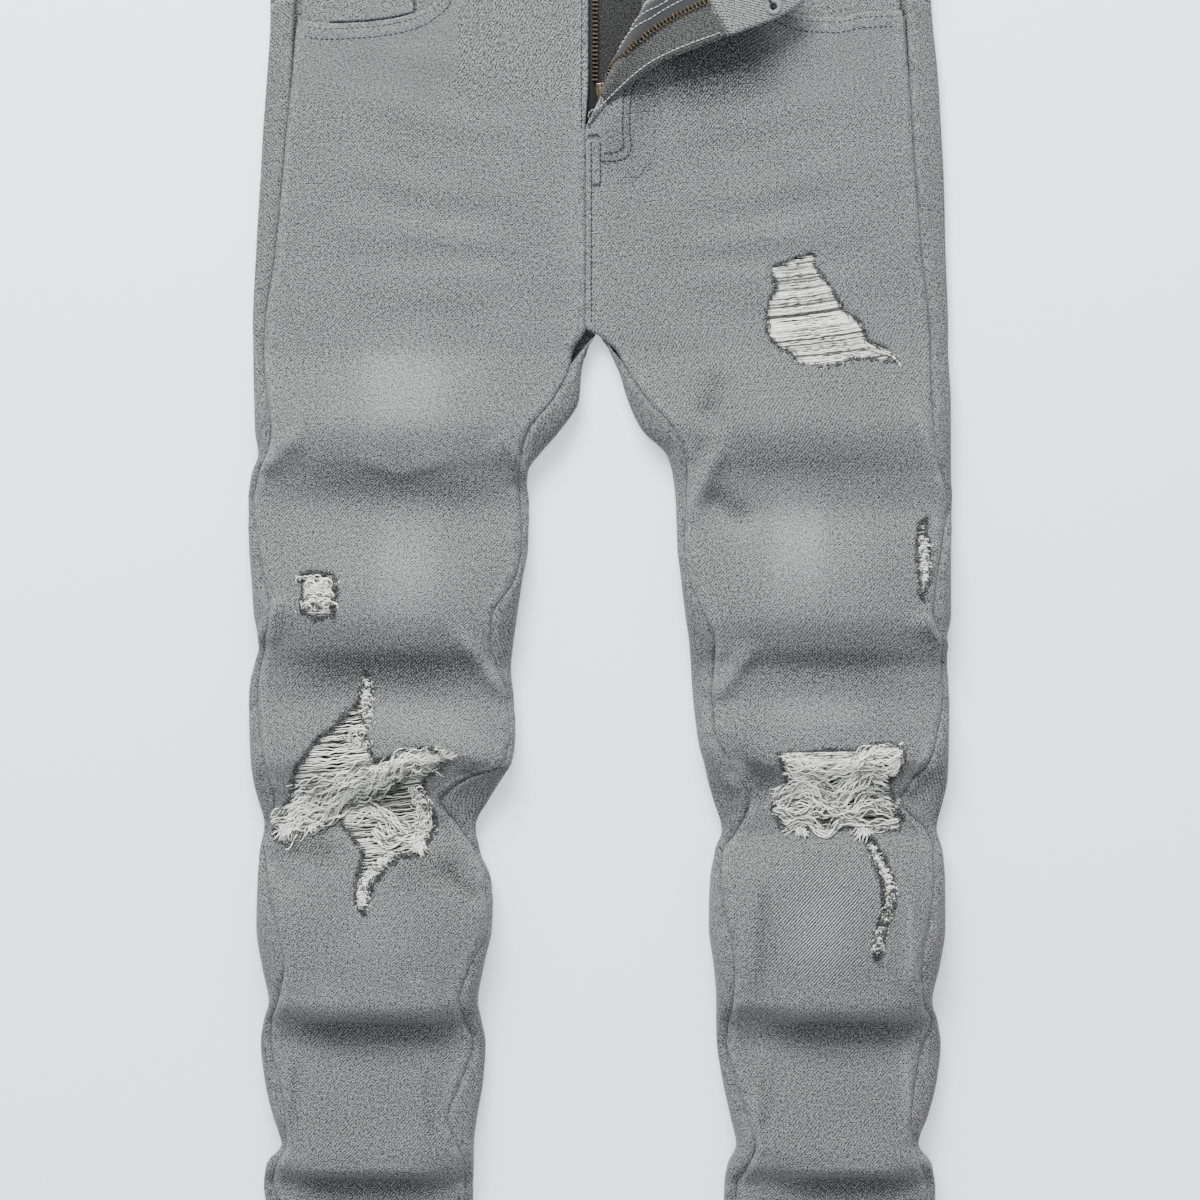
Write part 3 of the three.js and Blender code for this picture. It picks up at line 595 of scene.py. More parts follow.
def build_twill():
    """Wash and painted light: how pale, from the wash and from painted shade and painted highlights. Seam:
    how near a seam. Out: the colour and the height of the threads.
    """
    tree = bpy.data.node_groups.new("washed_twill_and_painted_light", "ShaderNodeTree")
    socket(tree, "Cloth", "Vector", "INPUT")
    socket(tree, "Wash_and_painted_light", "Float", "INPUT", 0.0)
    socket(tree, "Seam", "Float", "INPUT", 0.0)
    socket(tree, "Lines", "Float", "INPUT", 1.0)
    socket(tree, "Grey", "Float", "INPUT", 0.27)
    socket(tree, "Color", "Color", "OUTPUT")
    socket(tree, "Height", "Float", "OUTPUT")
    inside = tree.nodes.new("NodeGroupInput")
    result = tree.nodes.new("NodeGroupOutput")
    place = inside.outputs["Cloth"]
    turn = add_node(tree.nodes, "Mapping", inputs={"Rotation": (0, 0, math.radians(43))})
    tree.links.new(place, turn.inputs["Vector"])
    wave = add_node(tree.nodes, "TexWave", {"wave_type": "BANDS", "bands_direction": "X"}, {
        "Scale": TWILL_LINES, "Distortion": 1.3, "Detail": 2.0, "Detail Scale": 0.8})
    tree.links.new(turn.outputs[0], wave.inputs["Vector"])
    salt = noise(tree, place, 1300, 1.0, 0.6)
    pepper = noise(tree, place, 520, 2.0, 0.7)
    patches = noise(tree, place, 26, 3.0, 0.6)
    spots = noise(tree, place, 150, 3.0, 0.7)
    # threads: fine speckle plus the slanting lines, each centred on 0
    lines = math_node(tree, "MULTIPLY",
                      math_node(tree, "SUBTRACT", wave.outputs["Fac"], 0.5),
                      math_node(tree, "MULTIPLY", inside.outputs["Lines"], 0.70))
    speckle = math_node(tree, "ADD",
                        math_node(tree, "MULTIPLY", math_node(tree, "SUBTRACT", salt, 0.5), 6.4),
                        math_node(tree, "MULTIPLY", math_node(tree, "SUBTRACT", pepper, 0.5), 2.6))
    threads = math_node(tree, "ADD", lines, speckle)
    # wash and painted light: broad patches, the panel's own fade with its painted shade and highlights,
    # and mottling beside the seams
    broad = math_node(tree, "MULTIPLY", math_node(tree, "SUBTRACT", patches, 0.5), 0.34)
    worn = math_node(tree, "MULTIPLY", math_node(tree, "SUBTRACT", spots, 0.44),
                     math_node(tree, "MULTIPLY", inside.outputs["Seam"], 1.9))
    wash_and_painted_light = math_node(tree, "ADD", math_node(tree, "ADD", broad, worn), inside.outputs["Wash_and_painted_light"])
    light = math_node(tree, "ADD", math_node(tree, "ADD", wash_and_painted_light, threads), 1.0)
    bright = math_node(tree, "MULTIPLY", math_node(tree, "MAXIMUM", light, 0.12),
                       inside.outputs["Grey"])
    tint = add_node(tree.nodes, "CombineColor")
    tree.links.new(math_node(tree, "MULTIPLY", bright, 0.995), tint.inputs[0])
    tree.links.new(bright, tint.inputs[1])
    tree.links.new(math_node(tree, "MULTIPLY", bright, 1.012), tint.inputs[2])
    tree.links.new(tint.outputs[0], result.inputs["Color"])
    height = math_node(tree, "ADD", math_node(tree, "MULTIPLY", wave.outputs["Fac"], 0.6), pepper)
    tree.links.new(height, result.inputs["Height"])
    return tree


TWILL = build_twill()


def denim(name, grey, lines, roughness=0.92, bump_height=0.12):
    """A denim finish: the twill group with this panel's own grey and strength of line."""
    material, nodes, links = new_material(name)
    surface = shader(nodes, links, roughness, specular=0.15, sheen=0.12)
    weave = nodes.new("ShaderNodeGroup")
    weave.node_tree = TWILL
    flat = add_node(nodes, "UVMap", {"uv_map": "cloth"})
    links.new(flat.outputs[0], weave.inputs["Cloth"])
    for field in ("Wash_and_painted_light", "Seam"):
        number = add_node(nodes, "Attribute", {"attribute_name": field.lower()})
        links.new(number.outputs["Fac"], weave.inputs[field])
    bold = add_node(nodes, "Attribute", {"attribute_name": "bold"})
    strength = add_node(nodes, "Math", {"operation": "ADD"}, {1: lines})
    links.new(bold.outputs["Fac"], strength.inputs[0])
    links.new(strength.outputs[0], weave.inputs["Lines"])
    weave.inputs["Grey"].default_value = grey
    relief_node = add_node(nodes, "Bump", inputs={"Strength": 0.5, "Distance": bump_height * MM})
    links.new(weave.outputs["Color"], surface.inputs["Base Color"])
    links.new(weave.outputs["Height"], relief_node.inputs["Height"])
    links.new(relief_node.outputs[0], surface.inputs["Normal"])
    return material


DENIM_FRONT = denim("denim_front", 0.119, 1.0)
DENIM_BACK = denim("denim_back", 0.104, 0.8)
DENIM_POCKET = denim("denim_pocket", 0.118, 0.8)
DENIM_INSIDE = denim("denim_inside", 0.040, 0.9)
DENIM_SHIELD = denim("denim_shield", 0.021, 0.6)

# %% [markdown]
# ## The wash, with painted shade and painted highlights
#
# Whiskers fan out from the crotch, and the thighs and knees are faded. The hollows between the
# rolls, the bands below the sharp ridges and the place under the turned-out flap are darkened with
# painted shade, and the crests, and the bulges that face the light, are lightened with painted
# highlights. Each stroke below is a line with the amount that it brightens or darkens.

# %% Wash strokes, with painted shade and painted highlights
# Broad light strokes on the thighs and knees are fade, with painted highlight where a bulge faces the
# light; dark strokes across the hollows and below the ridges are painted shade.
RIGHT_WASH_AND_PAINTED_LIGHT = [
    ([(-150, 108), (-84, 112)], 0.34, 18, 34),
    ([(-186, 106), (-110, 108), (-50, 114)], 0.20, 14, 30),
    ([(-196, 54), (-125, 44), (-50, 42)], -0.38, 13, 13),
    ([(-140, 0), (-92, -4)], 0.28, 30, 34),
    ([(-180, -6), (-120, 0), (-66, -14)], 0.20, 22, 24),
    ([(-198, -66), (-125, -64), (-58, -66)], -0.66, 13, 12),
    ([(-150, -92), (-110, -94), (-66, -104)], 0.26, 11, 13),
    ([(-86, -128), (-74, -136), (-70, -150)], -0.45, 6, 6),
    ([(-200, -166), (-168, -172), (-150, -178)], -0.45, 9, 9),
    ([(-130, -188), (-100, -184), (-76, -176)], -0.30, 9, 12),
    ([(-150, -196), (-130, -232), (-110, -246)], 0.12, 22, 16),
    ([(-196, -279), (-130, -277), (-76, -279)], -0.38, 4, 10),
    ([(-190, -330), (-130, -330), (-80, -330)], -0.10, 24, 24),
    ([(-196, -371), (-130, -369), (-84, -371)], -0.42, 4, 10),
    ([(-20, 250), (-16, 200), (-16, 150)], 0.10, 9, 9),
    # narrow lines: painted highlights on the crests and painted shade in the cores of the sharp creases
    ([(-177, 78), (-192, 64), (-203, 51)], 0.28, 2.6, 2.6),
    ([(-62, 75), (-52, 58), (-45, 45)], -0.36, 2.4, 2.4),
    ([(-184, -23), (-194, -36), (-203, -50)], -0.34, 2.2, 2.2),
    ([(-87, -39), (-70, -60), (-54, -84)], 0.34, 3.4, 3.4),
    ([(-64, -130), (-75, -127), (-88, -125)], -0.60, 2.2, 2.2),
    ([(-200, -157), (-190, -167), (-178, -176)], -0.55, 2.4, 2.4),
    ([(-96, -180), (-84, -192), (-66, -206)], -0.34, 4, 4),
    ([(-196, -270), (-130, -268), (-78, -270)], 0.34, 1.8, 1.8),
    ([(-196, -363), (-130, -361), (-84, -363)], 0.34, 1.8, 1.8),
    ([(-184, -292), (-183, -320), (-185, -350)], -0.22, 2, 2),
    ([(-103, -292), (-104, -320), (-102, -350)], -0.22, 2, 2),
]
# The same here: fade with painted highlight on the bulges, and painted shade in the hollows, below the
# ridges and under the flap.
LEFT_WASH_AND_PAINTED_LIGHT = [
    ([(96, 10), (140, 8)], 0.36, 30, 34),
    ([(68, 10), (120, 4), (176, 4)], 0.26, 22, 26),
    ([(60, 62), (120, 58), (196, 64)], -0.24, 13, 13),
    ([(80, -64), (125, -62), (196, -64)], -0.40, 12, 12),
    ([(90, -94), (120, -90), (170, -90)], 0.24, 11, 13),
    ([(74, 117), (66, 98), (60, 84)], -0.30, 7, 7),
    ([(72, 50), (80, 30), (88, 16)], -0.24, 7, 7),
    ([(80, -126), (90, -134), (104, -142)], -0.45, 9, 10),
    ([(204, -112), (196, -128), (184, -142)], -0.40, 5, 6),
    ([(98, -186), (100, -220), (104, -250)], -0.14, 5, 5),
    ([(118, -196), (130, -226), (150, -240)], 0.16, 20, 18),
    ([(94, -279), (140, -277), (200, -279)], -0.38, 4, 10),
    ([(100, -330), (140, -330), (190, -330)], -0.08, 24, 24),
    ([(106, -371), (150, -369), (196, -371)], -0.42, 4, 10),
    # painted shadow under the turned-out flap, then painted shade at the foot of the fly and along the fly
    # shield's edge
    ([(24, 288), (50, 296), (86, 303), (118, 308)], -0.62, 18, 30),
    ([(12, 270), (24, 276), (40, 282)], -0.34, 12, 14),
    ([(36, 250), (31, 238), (22, 229), (5, 224)], -0.26, 2.4, 2.4),
    # narrow lines: painted highlights on the crests and painted shade in the cores of the sharp creases
    ([(182, 102), (201, 60), (205, 24)], 0.28, 2.8, 2.8),
    ([(73, 72), (62, 46), (51, 18)], 0.30, 3.2, 3.2),
    ([(190, -36), (198, -46), (207, -57)], -0.40, 2.2, 2.2),
    ([(92, -51), (80, -67), (69, -84)], 0.30, 3.4, 3.4),
    ([(208, -110), (196, -127), (183, -144)], -0.95, 3.0, 3.0),
    ([(202, -104), (190, -121), (178, -138)], 0.30, 3.0, 3.0),
    ([(94, -192), (95, -225), (96, -262)], -0.12, 4, 4),
    ([(184, -192), (185, -225), (184, -255)], 0.26, 2, 2),
    ([(94, -270), (140, -268), (200, -270)], 0.34, 1.8, 1.8),
    ([(104, -363), (150, -361), (196, -363)], 0.34, 1.8, 1.8),
    ([(98, -292), (97, -320), (99, -350)], -0.22, 2, 2),
    ([(182, -288), (183, -315), (182, -342)], 0.24, 2, 2),
]
# where the twill's lines stand out on the left shin
BOLD_TWILL = ([(150, -168), (136, -205), (122, -262)], 4.6, 26, 26)
WHISKERS = [
    ([(side * a, b), (side * (a + reach * 0.5), b + rise * 0.3), (side * (a + reach), b + rise)],
     amount, width, width)
    for side in (-1, 1)
    for a, b, reach, rise, amount, width in (
        (30, 262, 130, 26, 0.10, 6), (26, 246, 130, 26, -0.09, 6), (36, 226, 140, 22, 0.10, 6),
        (30, 212, 140, 18, -0.10, 6), (38, 198, 140, 14, 0.12, 6), (34, 182, 140, 10, -0.08, 5),
        (40, 170, 140, 6, 0.12, 6), (44, 156, 120, 0, -0.10, 6), (40, 142, 120, -4, 0.06, 6),
        (60, 290, 110, 18, -0.07, 7), (60, 304, 110, 12, 0.05, 7))
]


def wash_and_painted_light_at(x, y, strokes):
    total = np.zeros(np.shape(x))
    for line, amount, above, below in strokes:
        total += amount * stroke(x / MM, y / MM, line, above, below)
    return total


# %% [markdown]
# ## Tears
#
# A tear is a hole with a ragged edge. Each outline is a short list of corners; the panel's points
# near it are drawn onto it before the faces inside are left out, so the edge is clean and not
# stepped like a stair.

# %% Tear outlines
TEARS = {
    "thigh_left": [(103, 175), (116, 180), (128, 184), (129, 175), (135, 168), (140, 159.5),
                   (146, 149), (156, 142), (160, 131), (170, 127), (178, 119), (164, 120),
                   (149, 121), (144, 117), (133, 116), (119, 117.5), (115, 124), (108, 127),
                   (101, 134), (99.5, 143), (101, 155), (106, 163), (103, 171)],
    "side_left": [(196, 26), (194, 16), (197, 4), (197.5, -6), (194, -20), (191.5, -24),
                  (190.5, -14), (189.5, -2), (189, 10), (191, 22)],
    "knee_left": [(106, -116), (130, -114.5), (158, -114), (163, -110.5), (174, -110),
                  (182, -114), (181, -122), (172, -132), (175, -144), (181, -155), (178, -162),
                  (165, -161), (153, -158), (144, -161), (135, -164), (124, -160), (110, -161),
                  (103, -149), (106, -142), (112, -132)],
    "shin_left": [(157, -165), (164, -168), (169, -178), (174.5, -191), (174, -206), (168, -222),
                  (165, -238), (163, -236), (164.5, -222), (169, -206), (168, -192), (162, -176)],
    "thigh_right": [(-178, -9), (-170, -7.5), (-158, -9), (-157.5, -20), (-159, -33), (-168, -34.5),
                    (-178, -32), (-177, -20)],
    "knee_right": [(-140, -67), (-143, -82), (-147, -88), (-160, -101), (-168, -106), (-174, -114),
                   (-182, -125), (-184, -139), (-188, -148), (-194, -162), (-192, -166),
                   (-172, -164), (-158, -154), (-150, -163), (-141, -175), (-143, -182),
                   (-145, -194), (-146, -203), (-140, -212), (-137, -194), (-128, -184),
                   (-119, -176), (-107, -176), (-103, -169), (-99, -160), (-99, -152),
                   (-105, -143), (-105, -131), (-90, -120), (-96, -114), (-107, -112),
                   (-117, -115), (-127, -119), (-135, -119), (-137, -113), (-141, -103),
                   (-141, -92), (-137, -82), (-138, -70)],
}


def inside_outline(x, y, outline):
    """Whether each point is inside a closed outline."""
    inside = np.zeros(np.shape(x), bool)
    for (ax, ay), (bx, by) in zip(outline, outline[1:] + outline[:1]):
        crosses = (ay > y) != (by > y)
        with np.errstate(divide="ignore", invalid="ignore"):
            inside ^= crosses & (x < (bx - ax) * (y - ay) / (by - ay) + ax)
    return inside


def outline_nearest(x, y, outline):
    """The nearest place on the outline, and how far away it is."""
    best = np.full(np.shape(x), 1e9)
    px, py = np.array(x, float), np.array(y, float)
    for (ax, ay), (bx, by) in zip(outline, outline[1:] + outline[:1]):
        dx, dy = bx - ax, by - ay
        t = np.clip(((x - ax) * dx + (y - ay) * dy) / (dx * dx + dy * dy), 0, 1)
        qx, qy = ax + t * dx, ay + t * dy
        away = np.hypot(x - qx, y - qy)
        closer = away < best
        best = np.where(closer, away, best)
        px, py = np.where(closer, qx, px), np.where(closer, qy, py)
    return px, py, best


def tear(at, names, reach=1.15):
    """Draws the net's points onto the tears and says which faces fall inside."""
    x, y = at[..., 0] / MM, at[..., 1] / MM
    middle_x = (x[:-1, :-1] + x[1:, 1:]) / 2
    middle_y = (y[:-1, :-1] + y[1:, 1:]) / 2
    drop = np.zeros(middle_x.shape, bool)
    for name in names:
        px, py, away = outline_nearest(x, y, TEARS[name])
        near = away < reach
        at[..., 0] = np.where(near, px * MM, at[..., 0])
        at[..., 1] = np.where(near, py * MM, at[..., 1])
        drop |= inside_outline(middle_x, middle_y, TEARS[name])
    return drop


def tear_distance(x, y, names):
    """Millimetres to the nearest tear."""
    return np.min([outline_nearest(x / MM, y / MM, TEARS[name])[2] for name in names], axis=0)

# %% [markdown]
# ## The turned-out fly
#
# The left front is cut straight along the fly. Here its upper part is folded over a slanting
# line and lies back on the panel with its inside showing. The fold is a small roll, and past it
# the cloth lies flat again, upside down. The flap also bows and lifts a little, because denim
# never folds as flat as paper.

# %% The fold
FLY_EDGE_X = -8.55 * MM
FLY_END = np.array([-8.7 * MM, 255.6 * MM])
FOLD_UP = np.array([math.cos(math.pi / 3), math.sin(math.pi / 3)])
FOLD_ACROSS = np.array([-FOLD_UP[1], FOLD_UP[0]])
FLAP_ALONG = np.array([math.cos(math.pi / 6), math.sin(math.pi / 6)])
FLAP_OVER = np.array([-FLAP_ALONG[1], FLAP_ALONG[0]])
ROLL_START, ROLL_FULL, ROLL_GROWS = 1.2 * MM, 4.4 * MM, 60 * MM
FLAP_BOW = smooth_curve(np.array([0, 11, 19, 41, 60, 77, 94, 107, 126, 136, 158]) * MM,
                        np.array([0, 2.6, 3.1, 2.5, 0.8, -2, -5.6, -8.2, -11.6, -12.6, -11]) * MM)
FLAP_RISE = smooth_curve(np.array([0, 15, 40, 70, 100, 125, 158]) * MM,
                         np.array([0, 0.6, 3.0, 6.5, 8.0, 6.5, 4.0]) * MM)


def turned_out(at, normal):
    """Where points of the flat left front go, and which way its outside then faces."""
    from_end = at[..., :2] - FLY_END
    past, run = from_end @ FOLD_ACROSS, from_end @ FOLD_UP
    radius = mix(ROLL_START, ROLL_FULL, smooth(run / ROLL_GROWS))
    angle = np.clip(past / radius, 0, math.pi)
    beyond = np.maximum(0, past - math.pi * radius)
    place = FLY_END + run[..., None] * FOLD_UP
    place = place + (radius * np.sin(angle) - beyond)[..., None] * FOLD_ACROSS
    height = at[..., 2] + radius * (1 - np.cos(angle))
    # the bow and the lift of the flap, which grow from the fold to its free edge
    across = place - FLY_END
    u, v = across @ FLAP_ALONG, across @ FLAP_OVER
    v_fold = np.maximum(u * math.tan(math.pi / 6), 1e-4)
    share = smooth(1 - v / v_fold) * smooth(angle / math.pi)
    place = place + (FLAP_BOW(u) * share)[..., None] * FLAP_OVER
    height = height + FLAP_RISE(u) * share
    turned = np.concatenate([place, height[..., None]], axis=-1)
    facing = np.concatenate([-np.sin(angle)[..., None] * FOLD_ACROSS, np.cos(angle)[..., None]],
                            axis=-1)
    folds = ((past > 0) & (run > 0))[..., None]
    return np.where(folds, turned, at), np.where(folds, facing, normal)


def on_left(out, y, lift=0.0):
    """A point of the left front, from where it is when the front is flat. lift is towards the
    cloth's outside."""
    at, normal = LEFT.top(out, y)
    at, normal = turned_out(at, normal)
    return at + normal * np.asarray(lift)[..., None], normal


def on_right(out, y, lift=0.0):
    at, normal = RIGHT.top(out, y)
    return at + normal * np.asarray(lift)[..., None], normal


# %% [markdown]
# ## Fronts
#
# Each front runs from the outseam to the inseam and from the curved pocket mouth to the hem. Its
# edges dip into the seams, and the cloth beside a seam stands up in a puckered ridge, because the
# seam's thread shrank less than the cloth did.

# %% Front panels
MOUTH_X = 85 * MM
RIGHT_MOUTH = smooth_curve(np.array([85, 89, 95, 104, 124, 145, 164, 183]) * MM,
                           np.array([365, 348, 337, 330, 324, 321.6, 321, 324]) * MM)
LEFT_MOUTH = smooth_curve(np.array([85, 90, 96, 105, 121, 142, 158, 183]) * MM,
                          np.array([365, 351, 340, 332, 326, 325, 328, 329]) * MM)
MOUTH_SHOULDER = 276 * MM
FRONT_COLUMNS, FRONT_ROWS = 96, 400


def seam_ridge(away, along, seed):
    """How far a seam's edge dips and its neighbour stands up, in metres."""
    away = away / MM
    pucker = 0.5 + 0.5 * np.sin(along / MM * 0.9 + 3 * np.sin(along / MM * 0.21 + seed))
    return (-1.1 * np.exp(-((away / 1.3) ** 2))
            + (0.35 + 0.35 * pucker) * np.exp(-(((away - 4.5) / 2.2) ** 2))) * MM


def mouth_depth(out, y, mouth):
    """How far below the pocket mouth a place is."""
    return np.where(out > MOUTH_X, mouth(np.maximum(out, MOUTH_X)) - y, 1.0)


def front_net(leg, mouth):
    share = np.linspace(0, 1, FRONT_COLUMNS)[None, :]
    y = np.linspace(WAIST_SEAM, HEM, FRONT_ROWS)[:, None]
    out = mix(leg.outseam(y), leg.inner_seam(y), share)
    top = np.where(out > MOUTH_X, mouth(np.maximum(out, MOUTH_X)), WAIST_SEAM)
    reach = (y - MOUTH_SHOULDER) / (WAIST_SEAM - MOUTH_SHOULDER)
    level = np.where(y > MOUTH_SHOULDER, mix(MOUTH_SHOULDER, top, reach), y + 0 * out)
    from_outseam = np.abs(out - leg.outseam(level))
    from_inseam = np.abs(out - leg.inner_seam(level))
    fly = smooth((level - CROTCH) / (12 * MM))
    lift = seam_ridge(from_outseam, level, 1.0)
    lift = lift + seam_ridge(from_inseam, level, 2.0) * (1 - fly)
    lift = lift + seam_ridge(from_inseam, level, 2.0) * fly * 0.4 * (leg.side < 0)
    mouth_edge = mouth_depth(out, level, mouth) / MM
    lift = lift + 0.5 * MM * np.exp(-(((mouth_edge - 6) / 5) ** 2))
    at, normal = leg.top(out, level, lift)
    near_seam = (np.exp(-((from_outseam / (5 * MM)) ** 2))
                 + np.exp(-((from_inseam / (7 * MM)) ** 2)) + 0.8 * np.exp(-((mouth_edge / 8) ** 2)))
    return at, normal, out, level, np.minimum(near_seam, 1)


def front(name, leg, mouth, strokes, tears, fold=False):
    at, normal, out, level, near_seam = front_net(leg, mouth)
    flat = flat_map(at)
    # the wash and whiskers, with the strokes' painted shade and painted highlights
    wash_and_painted_light = wash_and_painted_light_at(at[..., 0], at[..., 1], strokes + WHISKERS)
    torn = tear_distance(at[..., 0], at[..., 1], tears)
    wash_and_painted_light = wash_and_painted_light - 0.22 * np.exp(-((torn / 1.8) ** 2))
    drop = tear(at, tears)
    if fold:
        at, _ = turned_out(at, normal)
    line, amount, above, below = BOLD_TWILL
    bold = amount * stroke(at[..., 0] / MM, at[..., 1] / MM, line, above, below)
    return cloth(name, at, DENIM_FRONT, leg.side > 0,
                 values={"wash_and_painted_light": wash_and_painted_light, "seam": near_seam, "bold": bold}, drop=drop, maps=flat)


front_right = front("front_right", RIGHT, RIGHT_MOUTH, RIGHT_WASH_AND_PAINTED_LIGHT, ["thigh_right", "knee_right"])
front_left = front("front_left", LEFT, LEFT_MOUTH, LEFT_WASH_AND_PAINTED_LIGHT,
                   ["thigh_left", "side_left", "knee_left", "shin_left"], fold=True)
print("front faces:", len(front_right.data.polygons), len(front_left.data.polygons))


# %% [markdown]
# ## Backs and yokes
#
# A back starts at the outseam, goes down round the outer fold, along the table, and up round the
# inner fold to the inseam. From above only its two edges show, darker than the front because they
# were never faded.

# %% Back panels
SEAM_GAP = 0.3 * MM
YOKE_SIDE, YOKE_CENTRE = 338 * MM, 300 * MM
BACK_COLUMNS = 90


def back_net(leg, levels, share):
    """A net of the back. levels gives y for each row and each share from outseam to inseam."""
    y = levels
    tail = leg.legness(y)
    start = leg.turn_at(leg.outseam(y) + SEAM_GAP, y)
    up = math.pi - leg.turn_at(leg.inner_seam(y) - SEAM_GAP, y)
    end = -mix(math.pi - 0.04, math.pi + up, tail)
    turn = mix(start, end, share)
    place, _ = leg.spot(turn, y)
    across = np.linalg.norm(np.diff(place, axis=1), axis=2)
    run = np.concatenate([np.zeros((len(place), 1)), np.cumsum(across, axis=1)], axis=1)
    from_out, from_in = run, run[:, -1:] - run
    lift = seam_ridge(from_out, y, 4.0) + seam_ridge(from_in, y, 5.0) * tail
    at, normal = leg.spot(turn, y, lift)
    near_seam = np.exp(-((from_out / (7 * MM)) ** 2)) + np.exp(-((from_in / (9 * MM)) ** 2))
    return at, normal, np.minimum(near_seam, 1)


def back_piece(name, leg, top, bottom, rows, material=DENIM_BACK):
    """A back or yoke between two heights, each a function of the share."""
    share = np.linspace(0, 1, BACK_COLUMNS)[None, :]
    reach = np.linspace(0, 1, rows)[:, None]
    levels = mix(top(share), bottom(share), reach)
    at, _, near_seam = back_net(leg, levels, share)
    wash_and_painted_light = 0.12 * np.sin(at[..., 1] / MM * 0.05) * np.exp(-((at[..., 0] / MM / 150) ** 2))
    return cloth(name, at, material, leg.side > 0, values={"wash_and_painted_light": wash_and_painted_light, "seam": near_seam})


def yoke_seam(share):
    return mix(YOKE_SIDE, YOKE_CENTRE, share)


for side_name, leg in (("right", RIGHT), ("left", LEFT)):
    back = back_piece(f"back_{side_name}", leg, yoke_seam, lambda share: HEM + 0 * share, 200)
    yoke = back_piece(f"yoke_{side_name}", leg, lambda share: WAIST_SEAM + 0 * share,
                      lambda share: yoke_seam(share) + SEAM_GAP, 30)
    print(back.name, len(back.data.polygons), yoke.name, len(yoke.data.polygons))

# %% [markdown]
# ## Pockets
#
# Behind each curved pocket mouth lies a facing of the same denim. The small coin pocket is sewn
# on the right one. The back pockets are flat patches with a pointed foot, and the jeans lie on
# them.

# %% Pocket facings and patches
FACING = 1.0 * MM
FACING_DEPTH = 1.5 * MM


def facing(name, leg, mouth):
    out = np.linspace(float(leg.outseam(WAIST_SEAM)) - 2.2 * MM, MOUTH_X - 8 * MM, 60)[None, :]
    foot = np.minimum(mouth(np.maximum(out, MOUTH_X)), WAIST_SEAM - 16 * MM) - 14 * MM
    y = mix(WAIST_SEAM - 0.5 * MM, foot, np.linspace(0, 1, 40)[:, None])
    at, _ = leg.top(out + 0 * y, y, -FACING_DEPTH)
    wash_and_painted_light = -0.10 * np.exp(-((mouth_depth(out, y, mouth) / (3 * MM)) ** 2))
    return cloth(name, at, DENIM_POCKET, leg.side > 0, FACING,
                 {"wash_and_painted_light": wash_and_painted_light, "seam": 0.4 + 0 * wash_and_painted_light})


facing("pocket_facing_right", RIGHT, RIGHT_MOUTH)
facing("pocket_facing_left", LEFT, LEFT_MOUTH)

COIN_TOP = 352 * MM
out = np.linspace(162, 112, 40)[None, :] * MM
y = mix(COIN_TOP, RIGHT_MOUTH(out) + 1.0 * MM, np.linspace(0, 1, 24)[:, None])
edge = np.minimum(out - 112 * MM, 162 * MM - out) + 0 * y
at, _ = RIGHT.top(out + 0 * y, y, 0.1 * MM * smooth(edge / (2 * MM)))
cloth("coin_pocket", at, DENIM_POCKET, False, FACING,
      {"wash_and_painted_light": 0 * y + 0 * out, "seam": np.exp(-((edge / (3 * MM)) ** 2))})

PATCH_DEPTH = 1.2 * MM


def back_patch(side_name, side):
    """A back pocket: a flat patch with five corners and slightly raised edges, lying on the table."""
    low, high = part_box(f"back_pocket_{side_name}")
    across = np.linspace(0, 1, 50)[None, :]
    down = np.linspace(0, 1, 50)[:, None]
    near, far = 42 * MM, 142 * MM
    x = mix(mix(near, far, across), mix(near + 4 * MM, far - 4 * MM, across), down)
    top = mix(305 * MM, 311 * MM, across)
    foot = mix(222 * MM, 206 * MM, 1 - np.abs(2 * across - 1))
    y = mix(top, foot, down)
    edge = np.minimum(np.minimum(across, 1 - across), np.minimum(down, 1 - down)) * (far - near)
    z = PATCH_DEPTH / 2 + 0.15 * MM * np.exp(-((edge / (2 * MM)) ** 2)) + 0 * y
    at = np.stack([side * x + 0 * y, y, z], axis=-1)
    values = {"wash_and_painted_light": 0 * y, "seam": np.exp(-((edge / (5 * MM)) ** 2)) + 0 * y}
    patch = cloth(f"back_pocket_{side_name}", at, DENIM_BACK, side > 0, 0.8 * MM, values)
    print(patch.name, "reaches", round(low.y / MM), "to", round(high.y / MM), "mm")


back_patch("right", -1)
back_patch("left", 1)

# %% [markdown]
# ## Hems
#
# Each leg ends in a turning, chain-stitched round. Its inner layer is a ring inside the leg, and
# the rope-like ridges of a washed hem come from the two layers shrinking by different amounts.

# %% Hem turnings
HEM_TURNING = 14 * MM


def hem(name, leg):
    reach = np.linspace(0, 1, 12)[:, None]
    y = mix(HEM + HEM_TURNING, HEM + 0.3 * MM, reach)
    turn = np.linspace(0, 2 * math.pi, 120, endpoint=False)[None, :]
    at, _ = leg.spot(np.where(turn > math.pi, turn - 2 * math.pi, turn), y, -1.4 * MM)
    values = {"wash_and_painted_light": 0 * y + 0 * turn, "seam": 0.7 + 0 * y + 0 * turn}
    return cloth(name, at, DENIM_INSIDE, leg.side < 0, 0.9 * MM, values, closed=True)


hem("hem_right", RIGHT)
hem("hem_left", LEFT)

# %% [markdown]
# ## Waistband
#
# The waistband is one long strip, two layers thick, that runs round the whole waist. Its right end
# carries the button; its left end is turned out with the flap and carries the buttonhole.

# %% Band
BAND = 2.4 * MM
WAIST_TOP = 414 * MM
BAND_REST = 2.7 * MM


def band_rows(outer, inner, back):
    return [(414, outer - 1, 0, inner, back, 8.6), (389, outer - 0.5, 0, inner, back, 8.6),
            (365, outer, 0, inner, back, 8.6)]


RIGHT_BAND = Leg(-1, band_rows(197, 7.2, 2), [], lambda y: BAND_REST + 0 * y)
LEFT_BAND = Leg(1, band_rows(196, -8.55, -2), [], lambda y: BAND_REST + 0 * y)


